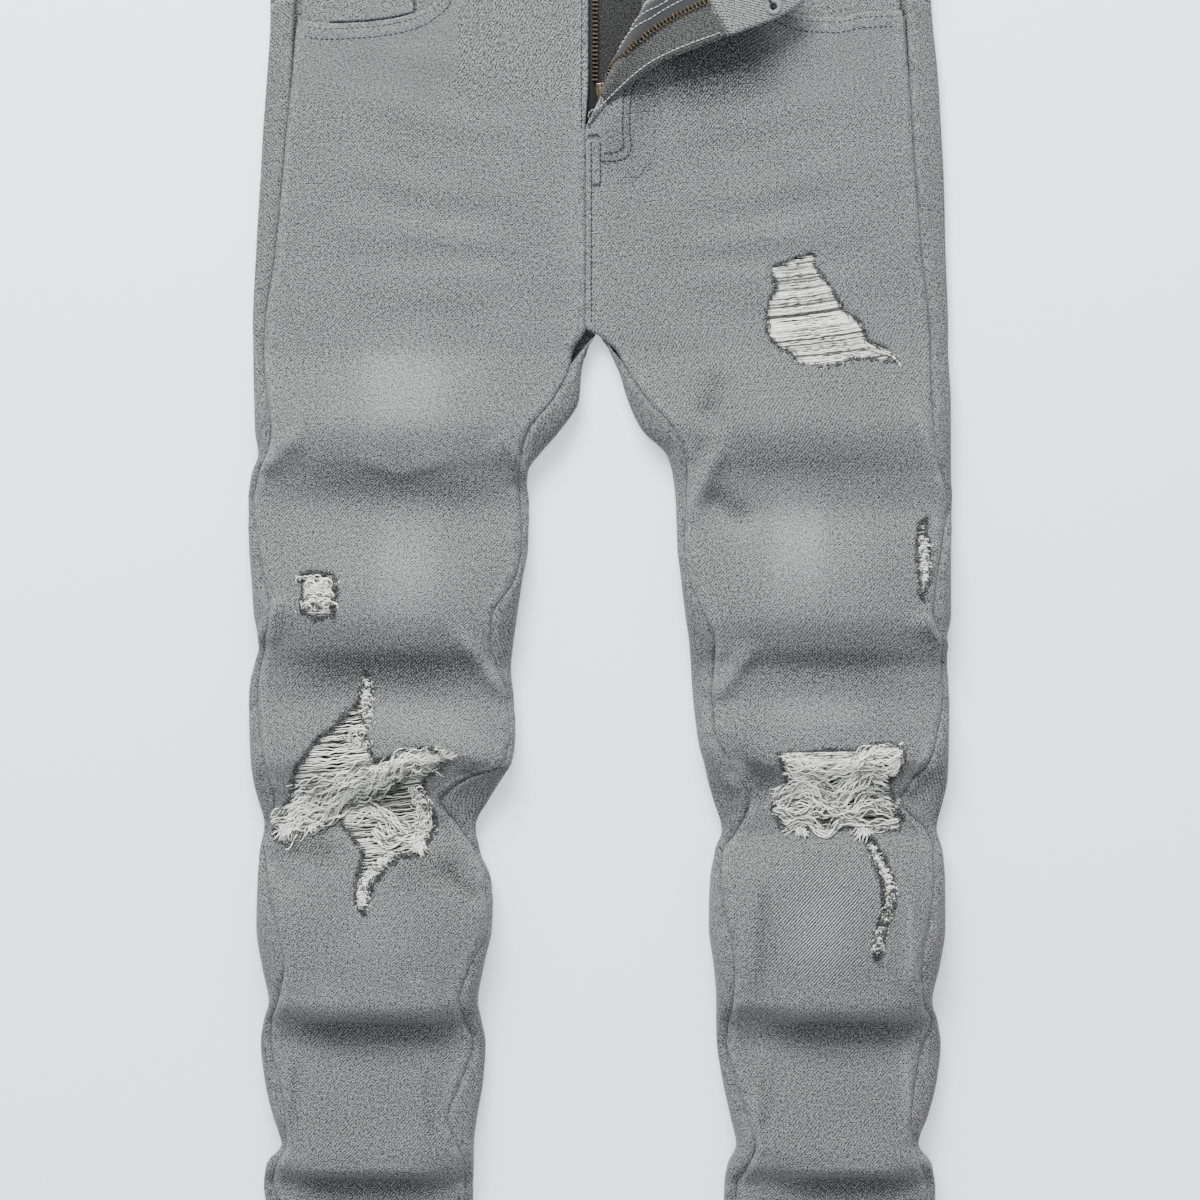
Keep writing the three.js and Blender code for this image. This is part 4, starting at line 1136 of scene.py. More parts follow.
def band_net():
    y = np.linspace(WAIST_TOP, WAIST_SEAM + 0.3 * MM, 26)[:, None]
    edge = np.minimum(WAIST_TOP - y, y - WAIST_SEAM) / MM
    puff = (0.5 * smooth(edge / 4) - 0.5) * MM
    parts = []
    under = np.linspace(0, -math.pi + 0.04, 46)[None, 1:] + 0 * y
    corner = np.linspace(0.34, 0.04, 6)[None, :] + 0 * y
    right_out = np.linspace(7.2, 190, 64)[None, :] * MM + 0 * y
    left_out = np.linspace(190, -8.55, 90)[None, :] * MM + 0 * y
    right_top, _ = RIGHT_BAND.top(right_out, y, puff + 0 * right_out)
    left_top, normal = LEFT_BAND.top(left_out, y, puff + 0 * left_out)
    left_top, _ = turned_out(left_top, normal)
    for band, turns in ((RIGHT_BAND, np.concatenate([corner, under], axis=1)),
                        (LEFT_BAND, np.concatenate([under[:, ::-1], corner[:, ::-1]], axis=1))):
        at, _ = band.spot(turns, y + 0 * turns, puff + 0 * turns)
        parts.append(at)
    return np.concatenate([right_top, *parts, left_top], axis=1), edge


def buttonhole_drop(at):
    """The faces where the keyhole buttonhole is cut."""
    eye, along = np.array([103.2, 328.9]), np.array([-0.5, 0.866])
    middle = (at[:-1, :-1] + at[1:, 1:]) / 2 / MM
    from_eye = middle[..., :2] - eye
    run, off = from_eye @ along, from_eye @ np.array([along[1], -along[0]])
    hole = (np.hypot(run, off) < 2.6) | ((np.abs(off) < 0.9) & (run > 0) & (run < 17))
    return hole & (middle[..., 2] > 14)


at, edge = band_net()
values = {"wash_and_painted_light": 0.05 + 0 * at[..., 0], "seam": np.exp(-((edge / 4) ** 2)) + 0 * at[..., 0]}
waistband = cloth("waistband", at, denim("denim_band", 0.118, 2.2), False, BAND * 0.8, values,
                  drop=buttonhole_drop(at))
print("waistband faces:", len(waistband.data.polygons))

# %% [markdown]
# ## Thread, curl and stitch
#
# Yarn is made as joined tubes: each path of points gets a ring of points round it at every step.
# One mesh holds all the yarn of a tear, and another all the stitches of a seam, because thousands
# of separate objects would be slow to handle and to export.

# %% Tubes along paths
def tube_points(path, radius, sides):
    """Rings of points along a path. radius may change along it."""
    path = np.asarray(path, float)
    along = np.gradient(path, axis=0)
    along /= np.maximum(np.linalg.norm(along, axis=1, keepdims=True), 1e-12)
    helper = np.where(np.abs(along[:, 2:3]) > 0.9, [[1.0, 0, 0]], [[0, 0, 1.0]])
    first = np.cross(along, helper)
    first /= np.maximum(np.linalg.norm(first, axis=1, keepdims=True), 1e-12)
    second = np.cross(along, first)
    angle = np.linspace(0, 2 * math.pi, sides, endpoint=False)
    ring = (np.cos(angle)[None, :, None] * first[:, None, :]
            + np.sin(angle)[None, :, None] * second[:, None, :])
    return path[:, None, :] + ring * np.broadcast_to(radius, len(path))[:, None, None]


def tubes(name, paths, radius, material, sides=4, replaces=(), values=None):
    """One mesh with a closed tube along each path. radius is a number or a function of a path."""
    points, faces, numbers, start = [], [], [], 0
    for i, path in enumerate(paths):
        thick = radius(len(path), i) if callable(radius) else radius
        rings = tube_points(path, thick, sides)
        steps = len(rings)
        points.append(rings.reshape(-1, 3))
        body = net_faces(steps, sides, flip=True, closed=True) + start
        faces.extend(map(tuple, body))
        faces.append(tuple(range(start, start + sides)))
        faces.append(tuple(range(start + steps * sides - 1, start + steps * sides - sides - 1, -1)))
        numbers.append(np.full(steps * sides, 0.0 if values is None else values[i]))
        start += steps * sides
    made = make_mesh(name, np.concatenate(points), faces, values={"shade": np.concatenate(numbers)})
    made.data.materials.append(material)
    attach(made, BODY)
    if replaces:
        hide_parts(*replaces)
    return made


def yarn(name, colour, dark, roughness=0.95, fuzz=900):
    """A yarn finish: fine fibre speckle, and a shade that differs from yarn to yarn."""
    material, nodes, links = new_material(name)
    surface = shader(nodes, links, roughness, specular=0.1, sheen=0.15)
    place = add_node(nodes, "TexCoord")
    fibre = add_node(nodes, "TexNoise", inputs={"Scale": fuzz, "Detail": 2.0})
    links.new(place.outputs["Object"], fibre.inputs["Vector"])
    shade = add_node(nodes, "Attribute", {"attribute_name": "shade"})
    total = add_node(nodes, "Math", {"operation": "MULTIPLY_ADD"}, {1: 0.7})
    links.new(fibre.outputs["Fac"], total.inputs[0])
    links.new(shade.outputs["Fac"], total.inputs[2])
    ramp = add_node(nodes, "ValToRGB")
    ramp.color_ramp.elements[0].position, ramp.color_ramp.elements[1].position = 0.05, 0.62
    ramp.color_ramp.elements[0].color = (*dark, 1)
    ramp.color_ramp.elements[1].color = (*colour, 1)
    links.new(total.outputs[0], ramp.inputs["Fac"])
    links.new(ramp.outputs["Color"], surface.inputs["Base Color"])
    raised = add_node(nodes, "Bump", inputs={"Strength": 0.4, "Distance": 0.1 * MM})
    links.new(fibre.outputs["Fac"], raised.inputs["Height"])
    links.new(raised.outputs[0], surface.inputs["Normal"])
    return material


WEFT = yarn("weft_cream", (0.88, 0.88, 0.83), (0.10, 0.10, 0.09))
FRAY = yarn("fray_dark", (0.085, 0.085, 0.088), (0.014, 0.014, 0.015))
STITCH = yarn("stitch_grey", (0.24, 0.24, 0.245), (0.10, 0.10, 0.10))
STITCH_DARK = yarn("stitch_dark", (0.050, 0.050, 0.052), (0.014, 0.014, 0.015))
TEAR_RANDOM = np.random.default_rng(7)

# %% [markdown]
# ## The bared weft
#
# Where the warp has been worn away only the pale weft is left, crossing the hole from edge to
# edge. It was held straight by the warp, so now it is too long: it waves, sags, and gathers into
# bundles. Each tear gets a row of yarns between its two edges, then the listed bundles, then a
# fringe of short dark curls of warp all round its edge.

# %% Yarn across a tear
YARN = 0.36 * MM


def edges_at(outline, level, skew=0.0):
    """Where a slanting line at that level crosses the outline: its first and last crossing."""
    found = []
    for (ax, ay), (bx, by) in zip(outline, outline[1:] + outline[:1]):
        sa, sb = ay - level - skew * ax, by - level - skew * bx
        if (sa > 0) != (sb > 0):
            t = sa / (sa - sb)
            found.append(ax + t * (bx - ax))
    return sorted(found)


def ground_path(xs, ys, lifts):
    leg = LEFT if xs[0] > 0 else RIGHT
    at, _ = leg.top(np.abs(xs) * MM, ys * MM)
    at = at.copy()
    at[:, 0], at[:, 1] = xs * MM, ys * MM
    at[:, 2] += lifts * MM
    return at


def crossing_yarns(outline, pitch, skew, wave, sag, random, top=None, bottom=None, depth=-0.2):
    """Yarns from edge to edge of a tear, a pitch apart, with their own waves."""
    ys = [y - skew * x for x, y in outline]
    level = (max(ys) if top is None else top) - 0.4
    lowest = min(ys) if bottom is None else bottom
    paths, shades = [], []
    while level > lowest:
        crossings = edges_at(outline, level, skew)
        for a, b in zip(crossings[::2], crossings[1::2]):
            if b - a < 1.2:
                continue
            n = max(6, int((b - a) / 1.6))
            xs = np.linspace(a - 0.8, b + 0.8, n)
            t = np.linspace(0, 1, n)
            free = np.sin(math.pi * t)
            w1, w2 = random.uniform(0, 6.28, 2)
            ys_here = level + skew * xs
            ys_here = ys_here + wave * free * (np.sin(xs * 0.31 + w1) * 0.6
                                               + np.sin(xs * 0.83 + w2) * 0.4)
            ys_here = ys_here - sag * free * random.uniform(0.3, 1.2)
            lifts = depth + free * random.uniform(-0.7, 0.7) + 0.3 * np.sin(xs * 0.9 + w2) * free
            paths.append(ground_path(xs, ys_here, lifts))
            shades.append(random.choice((-0.42, -0.1, 0.12, 0.24, 0.3)))
        level -= pitch * random.uniform(0.7, 1.3)
    return paths, shades


def bundle(points, width, count, lift, random, twist=0.5):
    """A loose bundle of yarns along a given route, width wide, that fans a little."""
    points = np.array(points, float)
    gaps = np.linalg.norm(np.diff(points, axis=0), axis=1)
    keys = np.concatenate([[0], np.cumsum(gaps)])
    n = max(10, int(keys[-1] / 1.8))
    s = np.linspace(0, keys[-1], n)
    course = np.stack([smooth_curve(keys, points[:, k])(s) for k in (0, 1)], axis=1)
    tangent = np.gradient(course, axis=0)
    tangent /= np.linalg.norm(tangent, axis=1, keepdims=True)
    across = np.stack([-tangent[:, 1], tangent[:, 0]], axis=1)
    t = s / keys[-1]
    paths, shades = [], []
    for i in range(count):
        seat = random.uniform(-1, 1)
        w1, w2, w3 = random.uniform(0, 6.28, 3)
        spread = 0.75 + 0.5 * np.abs(2 * t - 1) ** 1.5
        off = width / 2 * (seat * spread + twist * 0.38 * np.sin(s * 0.12 + w1)
                           + twist * 0.20 * np.sin(s * 0.45 + w2))
        place = course + across * off[:, None]
        heap = lift * (1 - 0.5 * seat ** 2) * np.sin(math.pi * np.clip(t * 1.1, 0, 1)) ** 0.5
        lifts = heap + 0.6 * np.sin(s * 0.22 + w3)
        paths.append(ground_path(place[:, 0], place[:, 1], np.maximum(lifts, -0.5)))
        shades.append(random.choice((-0.5, -0.25, 0.05, 0.2, 0.28, 0.35)))
    return paths, shades


def frizz(points, width, count, random, lift=0.7):
    """Short curly ends of weft heaped along a given route, as in a narrow slit."""
    points = np.array(points, float)
    keys = np.linspace(0, 1, len(points))
    paths, shades = [], []
    for _ in range(count):
        s = random.uniform(0, 1)
        x, y = (float(smooth_curve(keys, points[:, k])(np.array(s))) for k in (0, 1))
        turns, r = random.uniform(0.5, 1.4), width * random.uniform(0.16, 0.42)
        heading = random.uniform(0, 6.28)
        a = heading + np.linspace(0, turns * 2 * math.pi, 10)
        drift = np.linspace(-0.5, 0.5, 10) * width * random.uniform(0.3, 0.9)
        xs = x + random.uniform(-0.22, 0.22) * width + drift + r * np.cos(a)
        ys = y + random.uniform(-1, 1) + 0.7 * r * np.sin(a)
        paths.append(ground_path(xs, ys, lift * (0.3 + random.uniform(0, 1)) + 0.5 * r * np.sin(a)))
        shades.append(random.choice((-0.45, 0.0, 0.2, 0.3, 0.35)))
    return paths, shades


def curls(outline, every, size, random, skip=()):
    """Short dark curls of warp yarn round a tear's edge."""
    paths = []
    for (ax, ay), (bx, by) in zip(outline, outline[1:] + outline[:1]):
        length = math.hypot(bx - ax, by - ay)
        for k in range(max(1, int(length / every))):
            t = (k + random.uniform(0, 1)) / max(1, int(length / every))
            x, y = ax + t * (bx - ax), ay + t * (by - ay)
            if any(math.hypot(x - sx, y - sy) < sr for sx, sy, sr in skip):
                continue
            turns, r = random.uniform(0.4, 1.3), size * random.uniform(0.45, 1.0) ** 2 * 2.3
            if random.uniform(0, 1) < 0.32:
                continue
            heading, n = random.uniform(0, 6.28), 9
            a = np.linspace(0, turns * 2 * math.pi, n) + heading
            grow = np.linspace(0.4, 1, n) * r
            xs = x + grow * np.cos(a) + random.uniform(-0.8, 0.8)
            ys = y + grow * np.sin(a) + random.uniform(-0.8, 0.8)
            lifts = 0.5 + 0.6 * r * (1 + np.sin(a * 0.7 + heading)) * 0.5
            paths.append(ground_path(xs, ys, lifts))
    return paths


def tear_yarns(name, parts, fringe_every=0.9, fringe_size=1.0, skip=()):
    """The weft of one tear as one sheet of yarn, and its dark fringe."""
    paths = [p for made in parts for p in made[0]]
    shades = [s for made in parts for s in made[1]]
    weft = tubes(f"weft_{name}", paths, YARN, WEFT, 4, (f"threads_{name}",), shades)
    fringe = tubes(f"fray_{name}", curls(TEARS[name], fringe_every, fringe_size, TEAR_RANDOM, skip),
                   0.28 * MM, FRAY, 3)
    print(name, "yarns:", len(paths), "faces:", len(weft.data.polygons), len(fringe.data.polygons))
    return weft, fringe


# %% [markdown]
# Each tear has its own yarns: straight ones across, bundles that sag, and curls in narrow tips.
# They are given one by one, since no two tears are alike.

# %% The six tears
R = TEAR_RANDOM
tear_yarns("thigh_left", [
    crossing_yarns(TEARS["thigh_left"], 0.66, 0.13, 0.45, 0.6, R),
    bundle([(158, 130), (168, 125.5), (178, 121), (182, 117)], 5, 12, 0.6, R)])
tear_yarns("side_left", [
    frizz([(194.5, 12), (194, 0), (194, -14)], 5.5, 90, R),
    crossing_yarns(TEARS["side_left"], 1.0, 0.2, 0.3, 0.3, R)], 0.6, 1.1)
tear_yarns("thigh_right", [
    crossing_yarns(TEARS["thigh_right"], 1.0, -0.05, 0.6, 0.5, R),
    frizz([(-174, -12), (-166, -20), (-162, -30)], 12, 70, R),
    frizz([(-162, -12), (-170, -22), (-174, -30)], 12, 50, R)], 0.6, 1.2)
tear_yarns("knee_left", [
    crossing_yarns(TEARS["knee_left"], 1.05, 0.03, 0.9, 1.4, R, depth=-1.0),
    bundle([(106, -116.5), (132, -115.5), (158, -115), (170, -113)], 2.2, 9, 0.9, R, 0.2),
    bundle([(108, -119), (132, -121), (156, -118), (180, -113)], 7, 18, 0.8, R, 0.9),
    bundle([(110, -124), (130, -129), (150, -124), (166, -117), (180, -118)], 11, 36, 1.5, R, 1.3),
    bundle([(105, -146), (122, -137), (137, -145), (150, -138), (163, -128), (173, -131)], 9, 32,
           1.9, R, 1.4),
    bundle([(103, -143), (116, -139), (128, -133), (140, -140), (152, -131), (168, -124)], 6, 16,
           1.3, R, 1.4),
    bundle([(103, -148), (118, -150), (133, -147), (148, -152), (164, -144), (177, -150)], 9, 28,
           1.8, R, 1.4),
    bundle([(108, -160), (122, -156), (134, -163), (146, -155), (162, -160), (180, -158)], 6, 22,
           1.4, R, 1.3)], 0.7, 1.1)
tear_yarns("shin_left", [
    frizz([(161, -170), (169, -184), (173, -198), (170, -212), (166, -226), (165, -234)], 5.5, 190, R),
    crossing_yarns(TEARS["shin_left"], 1.3, 0.3, 0.3, 0.3, R)], 0.5, 1.3)
tear_yarns("knee_right", [
    crossing_yarns(TEARS["knee_right"], 0.98, 0.10, 0.8, 1.0, R, depth=-0.8),
    bundle([(-193, -164), (-180, -157), (-166, -153), (-148, -140), (-128, -131), (-110, -119),
            (-92, -119)], 12, 60, 2.6, R, 1.2),
    bundle([(-192, -160), (-176, -146), (-152, -136), (-130, -127), (-112, -121)], 11, 28, 1.2, R,
           1.3),
    bundle([(-186, -140), (-168, -136), (-148, -130), (-134, -122)], 10, 20, 0.8, R, 1.2),
    bundle([(-154, -153), (-138, -148), (-126, -154), (-114, -164), (-104, -160)], 8, 26, 1.0, R,
           1.4),
    bundle([(-136, -162), (-126, -168), (-114, -167), (-104, -152), (-106, -138)], 7, 20, 1.0, R,
           1.4),
    frizz([(-110, -136), (-106, -148), (-104, -160), (-112, -170)], 9, 60, R),
    frizz([(-139, -71), (-139, -84), (-138, -98)], 5.5, 110, R),
    frizz([(-140, -100), (-146, -106), (-138, -112)], 9, 40, R),
    frizz([(-124, -176), (-134, -184), (-141, -196), (-141, -208)], 6, 150, R)],
    0.6, 1.25, skip=((-190, -164, 4), (-92, -118, 4)))

# %% [markdown]
# ## The fly and its zip
#
# In the opening lies the fly shield, a doubled piece of dark denim. The right tape is sewn between
# it and the right front. The left tape leaves the slider, climbs round the fold and lies along
# the flap's facing. Everything on the flap is placed by where it would be on the flat panel, so it
# turns out with the cloth.

# %% Shield, facing and tapes
SHIELD_LOW, SHIELD_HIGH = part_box("fly_shield")
TAPE_LOW, TAPE_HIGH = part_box("zip_tape_right")
SLIDER_X = 1.8 * MM


def strip_net(left, right, top, foot, z, columns, rows, swell=0.0):
    """A level strip between two edges, which are functions of y."""
    y = np.linspace(top, foot, rows)[:, None]
    share = np.linspace(0, 1, columns)[None, :]
    x = mix(left(y), right(y), share)
    height = z + swell * np.sin(math.pi * share) + 0 * y
    return np.stack([x, y + 0 * x, height + 0 * x], axis=-1)


shield_left = smooth_curve(np.array([236, 250, 262, 364.5]) * MM, np.array([-6, -16, -20, -20]) * MM)
shield_right = smooth_curve(np.array([236, 246, 264, 364.5]) * MM, np.array([8, 18, 26, 28]) * MM)
shield_z = (SHIELD_LOW.z + SHIELD_HIGH.z) / 2
at = strip_net(shield_left, shield_right, 364.5 * MM, 236.5 * MM, shield_z, 40, 90)
ripple = 0.25 * MM * np.sin(at[..., 1] / MM * 0.16) * np.sin(at[..., 0] / MM * 0.2 + 1)
at[..., 2] += ripple
cloth("fly_shield", at, DENIM_SHIELD, False, 1.4 * MM,
      {"wash_and_painted_light": 0 * at[..., 0], "seam": 0 * at[..., 0] + 0.15})

flat_y = np.linspace(364, 278.5, 80)[:, None] * MM
flat_d = np.linspace(0.6, 32, 26)[None, :] * MM
inner = LEFT.inner_seam(flat_y)
out = inner + flat_d
at, _ = on_left(out, flat_y + 0 * out, -1.45 * MM + 0 * out)
facing_edge = np.exp(-((flat_d / (2.5 * MM)) ** 2)) + 0 * flat_y
cloth("fly_facing", at, DENIM_INSIDE, True, 0.8 * MM, {"wash_and_painted_light": 0 * out, "seam": 0.5 * facing_edge},
      maps=flat_map(at))


def tape_finish():
    """Woven tape: fine herringbone ribs along its length."""
    material, nodes, links = new_material("tape_black")
    surface = shader(nodes, links, 0.85, specular=0.2, sheen=0.2)
    flat = add_node(nodes, "UVMap", {"uv_map": "cloth"})
    ribs = add_node(nodes, "TexWave", {"wave_type": "BANDS", "bands_direction": "X"}, {
        "Scale": 320.0, "Distortion": 2.0, "Detail": 1.0})
    links.new(flat.outputs[0], ribs.inputs["Vector"])
    ramp = add_node(nodes, "ValToRGB")
    ramp.color_ramp.elements[0].color = (0.009, 0.009, 0.010, 1)
    ramp.color_ramp.elements[1].color = (0.035, 0.035, 0.038, 1)
    links.new(ribs.outputs["Fac"], ramp.inputs["Fac"])
    links.new(ramp.outputs["Color"], surface.inputs["Base Color"])
    raised = add_node(nodes, "Bump", inputs={"Strength": 0.4, "Distance": 0.1 * MM})
    links.new(ribs.outputs["Fac"], raised.inputs["Height"])
    links.new(raised.outputs[0], surface.inputs["Normal"])
    return material


TAPE_BLACK = tape_finish()
tape_z = (TAPE_LOW.z + TAPE_HIGH.z) / 2
right_tape = strip_net(lambda y: -17 * MM + 0 * y, lambda y: -4.0 * MM + 0 * y, 364.5 * MM,
                       262 * MM, tape_z, 8, 60)
cloth("zip_tape_right", right_tape, TAPE_BLACK, False, 0.7 * MM)

# The left chain: how far along the fly it is, and how far from the fly's edge it lies.
CHAIN_RUN = np.array([30, 39, 50, 58, 63.5, 72, 83, 93, 102, 109]) * MM
CHAIN_EDGE = np.array([11.7, 14.6, 16.6, 19.2, 20.4, 21.6, 22.4, 22.5, 22.6, 22.8]) * MM
chain_edge = smooth_curve(CHAIN_RUN, CHAIN_EDGE)
FLAP_LIFT = -2.4 * MM


def flap_place(run, from_edge, lift):
    """A place on the flap's inner side: along the fly, in from its edge, and up off the facing."""
    at, normal = on_left(FLY_EDGE_X + from_edge, FLY_END[1] + run, FLAP_LIFT - lift)
    return at, normal


tape_run = np.linspace(CHAIN_RUN[0], CHAIN_RUN[-1], 70)[:, None]
tape_across = np.linspace(-1.5, 11.5, 9)[None, :] * MM
at, _ = flap_place(tape_run + 0 * tape_across, chain_edge(tape_run) + tape_across,
                   0.1 * MM + 0 * tape_run + 0 * tape_across)
settle = smooth((tape_run - CHAIN_RUN[0]) / (22 * MM))
slider_end = np.stack([SLIDER_X + 2.0 * MM + tape_across * 0.6 + 0 * tape_run,
                       284 * MM + (tape_run - CHAIN_RUN[0]) * 0.9 + 0 * tape_across,
                       9.0 * MM + 0 * tape_run + 0 * tape_across], axis=-1)
at = mix(slider_end, at, settle[..., None])
cloth("zip_tape_left", at, TAPE_BLACK, True, 0.7 * MM)

# %% [markdown]
# ## Teeth
#
# A metal zip's tooth is a small clamp: two legs pressed onto the tape's cord and a head with a
# nib. One tooth is modelled from a cube by moving its edges, and then copied along each chain into
# one joined mesh.

# %% One tooth and two chains
def metal(name, colour, dark, roughness, scratches=700.0):
    """Worn plated metal: its colour breaks up, and its roughness with it."""
    material, nodes, links = new_material(name)
    surface = shader(nodes, links, roughness, specular=0.5, metallic=1.0)
    place = add_node(nodes, "TexCoord")
    wear = add_node(nodes, "TexNoise", inputs={"Scale": scratches, "Detail": 4.0})
    links.new(place.outputs["Object"], wear.inputs["Vector"])
    ramp = add_node(nodes, "ValToRGB")
    ramp.color_ramp.elements[0].position, ramp.color_ramp.elements[1].position = 0.32, 0.66
    ramp.color_ramp.elements[0].color = (*dark, 1)
    ramp.color_ramp.elements[1].color = (*colour, 1)
    links.new(wear.outputs["Fac"], ramp.inputs["Fac"])
    links.new(ramp.outputs["Color"], surface.inputs["Base Color"])
    dull = add_node(nodes, "MapRange", inputs={3: roughness + 0.18, 4: roughness - 0.08})
    links.new(wear.outputs["Fac"], dull.inputs[0])
    links.new(dull.outputs[0], surface.inputs["Roughness"])
    raised = add_node(nodes, "Bump", inputs={"Strength": 0.25, "Distance": 0.05 * MM})
    links.new(wear.outputs["Fac"], raised.inputs["Height"])
    links.new(raised.outputs[0], surface.inputs["Normal"])
    return material


BRONZE = metal("zip_bronze", (0.24, 0.18, 0.11), (0.05, 0.037, 0.024), 0.36)
ANTIQUE = metal("button_antique", (0.30, 0.26, 0.20), (0.09, 0.08, 0.065), 0.42, 420.0)


def cube_piece(name, size, place):
    bpy.ops.object.select_all(action="DESELECT")
    bpy.ops.mesh.primitive_cube_add(size=1.0, location=place)
    made = bpy.context.object
    made.name = name
    made.scale = size
    bpy.ops.object.transform_apply(location=True, rotation=True, scale=True)
    return made


def rounded(piece, width, segments=2):
    bevel = piece.modifiers.new("edges", "BEVEL")
    bevel.width, bevel.segments, bevel.limit_method = width, segments, "ANGLE"
    bpy.ops.object.select_all(action="DESELECT")
    bpy.context.view_layer.objects.active = piece
    piece.select_set(True)
    bpy.ops.object.modifier_apply(modifier="edges")
    return piece


def joined(first, *others):
    bpy.ops.object.select_all(action="DESELECT")
    for piece in (first, *others):
        piece.select_set(True)
    bpy.context.view_layer.objects.active = first
    bpy.ops.object.join()
    return first


# the tooth's own frame: x out from the tape to the head, y along the chain, z up
head = cube_piece("tooth", (1.5 * MM, 1.25 * MM, 1.7 * MM), (2.6 * MM, 0, 0))
legs = [cube_piece("leg", (2.0 * MM, 1.05 * MM, 0.5 * MM), (0.95 * MM, 0, side * 0.62 * MM))
        for side in (-1, 1)]
tooth = rounded(joined(head, *legs), 0.18 * MM, 1)
TOOTH_POINTS = np.array([tuple(v.co) for v in tooth.data.vertices])
TOOTH_FACES = [tuple(p.vertices) for p in tooth.data.polygons]
bpy.data.objects.remove(tooth, do_unlink=True)
TOOTH_PITCH = 2.5 * MM


def chain(name, places, outs, ups):
    """A tooth at each place. outs point from the tape to the head, ups out of the tape."""
    points, faces = [], []
    for i, (place, out_way, up_way) in enumerate(zip(places, outs, ups)):
        along_way = np.cross(up_way, out_way)
        axes = np.stack([out_way, along_way, up_way])
        points.append(place + TOOTH_POINTS @ axes)
        faces.extend(tuple(i * len(TOOTH_POINTS) + k for k in face) for face in TOOTH_FACES)
    made = make_mesh(f"{name}_metal", np.concatenate(points), faces)
    made.data.polygons.foreach_set("use_smooth", np.zeros(len(made.data.polygons), bool))
    made.data.materials.append(BRONZE)
    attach(made, BODY)
    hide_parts(name)
    return made


count = int((364 - 287) * MM / TOOTH_PITCH)
ys = 287.5 * MM + np.arange(count) * TOOTH_PITCH
chain("zip_teeth_right", np.stack([0 * ys - 4.6 * MM, ys, 0 * ys + tape_z + 0.5 * MM], 1),
      np.tile([1.0, 0, 0], (count, 1)), np.tile([0, 0, 1.0], (count, 1)))

run = np.linspace(CHAIN_RUN[0], CHAIN_RUN[-1], 200)
middle, _ = flap_place(run, chain_edge(run), 0.5 * MM + 0 * run)
settle = smooth((run - CHAIN_RUN[0]) / (22 * MM))[:, None]
start = np.stack([SLIDER_X + 2.0 * MM + 0 * run, 284 * MM + (run - CHAIN_RUN[0]) * 0.9,
                  9.4 * MM + 0 * run], axis=1)
middle = mix(start, middle, settle)
length = np.concatenate([[0], np.cumsum(np.linalg.norm(np.diff(middle, axis=0), axis=1))])
stops = np.arange(0, length[-1], TOOTH_PITCH)
places = np.stack([np.interp(stops, length, middle[:, k]) for k in range(3)], axis=1)
tangent = np.gradient(places, axis=0)
tangent /= np.linalg.norm(tangent, axis=1, keepdims=True)
ups = np.tile([0, 0, 1.0], (len(stops), 1))
ups = ups - np.sum(ups * tangent, axis=1, keepdims=True) * tangent
ups /= np.linalg.norm(ups, axis=1, keepdims=True)
outs = np.cross(tangent, ups)
chain("zip_teeth_left", places + ups * 0.4 * MM, outs, ups)
print("teeth:", count, "and", len(stops))

# %% [markdown]
# ## Slider, pull tab and button
#
# The slider's body is a wedge with a bridge over it, and the pull tab swings on the bridge. The
# tab is the one piece here that moves by itself, so it rides on its own body. Each starts as a
# simple solid on its frame node's place and gets its edges rounded.

# %% Slider and pull tab
def prism(name, outline, bottom, top):
    """An upright solid on an outline in millimetres."""
    n = len(outline)
    points = [(x * MM, y * MM, z) for z in (bottom, top) for x, y in outline]
    faces = [tuple(range(n - 1, -1, -1)), tuple(range(n, 2 * n))]
    faces += [(i, (i + 1) % n, n + (i + 1) % n, n + i) for i in range(n)]
    made = make_mesh(name, points, faces)
    made.data.polygons.foreach_set("use_smooth", np.zeros(len(made.data.polygons), bool))
    return made


def finish_piece(made, name, material, body):
    made.name = f"{name}_metal"
    made.data.materials.clear()
    made.data.materials.append(material)
    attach(made, body)
    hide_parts(name)
    return made


SLIDER_LOW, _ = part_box("zip_slider")
body = rounded(prism("slider_body", [(-2.4 + 1.8, 273), (2.4 + 1.8, 273), (4.2 + 1.8, 281),
                                     (4.2 + 1.8, 285.2), (0.5 + 1.8, 285.2), (1.8, 283.6),
                                     (-0.5 + 1.8, 285.2), (-4.2 + 1.8, 285.2), (-4.2 + 1.8, 281)],
                     SLIDER_LOW.z, 9 * MM), 0.45 * MM, 2)
posts = [cube_piece("post", (1.5 * MM, 1.0 * MM, 2.6 * MM), (SLIDER_X, y * MM, 10.2 * MM))
         for y in (278.9, 284.8)]
bar = cube_piece("bar", (1.6 * MM, 6.9 * MM, 0.8 * MM), (SLIDER_X, 281.85 * MM, 11.3 * MM))
bridge = rounded(joined(bar, *posts), 0.25 * MM, 2)
finish_piece(joined(body, bridge), "zip_slider", BRONZE, BODY)

TAB_LOW, TAB_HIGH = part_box("zip_pull_tab")
sides = [prism("tab_side", [(1.8 + side * 1.15, 282.4), (1.8 + side * 2.25, 282.0),
                            (1.8 + side * 2.25, 277.2), (1.8 + side * 1.15, 277.4)][::side],
               TAB_LOW.z, TAB_HIGH.z) for side in (-1, 1)]
top = prism("tab_top", [(1.8 - 1.3, 281.5), (1.8 + 1.3, 281.5), (1.8 + 1.3, 282.5), (1.8 - 1.3, 282.5)],
            TAB_LOW.z, TAB_HIGH.z)
foot = prism("tab_foot", [(1.8 - 2.2, 277.5), (1.8 - 1.85, 274.6), (1.8 - 2.2, 269.4), (1.8 - 1.4, 268.1),
                          (1.8 + 1.4, 268.1), (1.8 + 2.2, 269.4), (1.8 + 1.85, 274.6),
                          (1.8 + 2.2, 277.5)], TAB_LOW.z, TAB_HIGH.z)
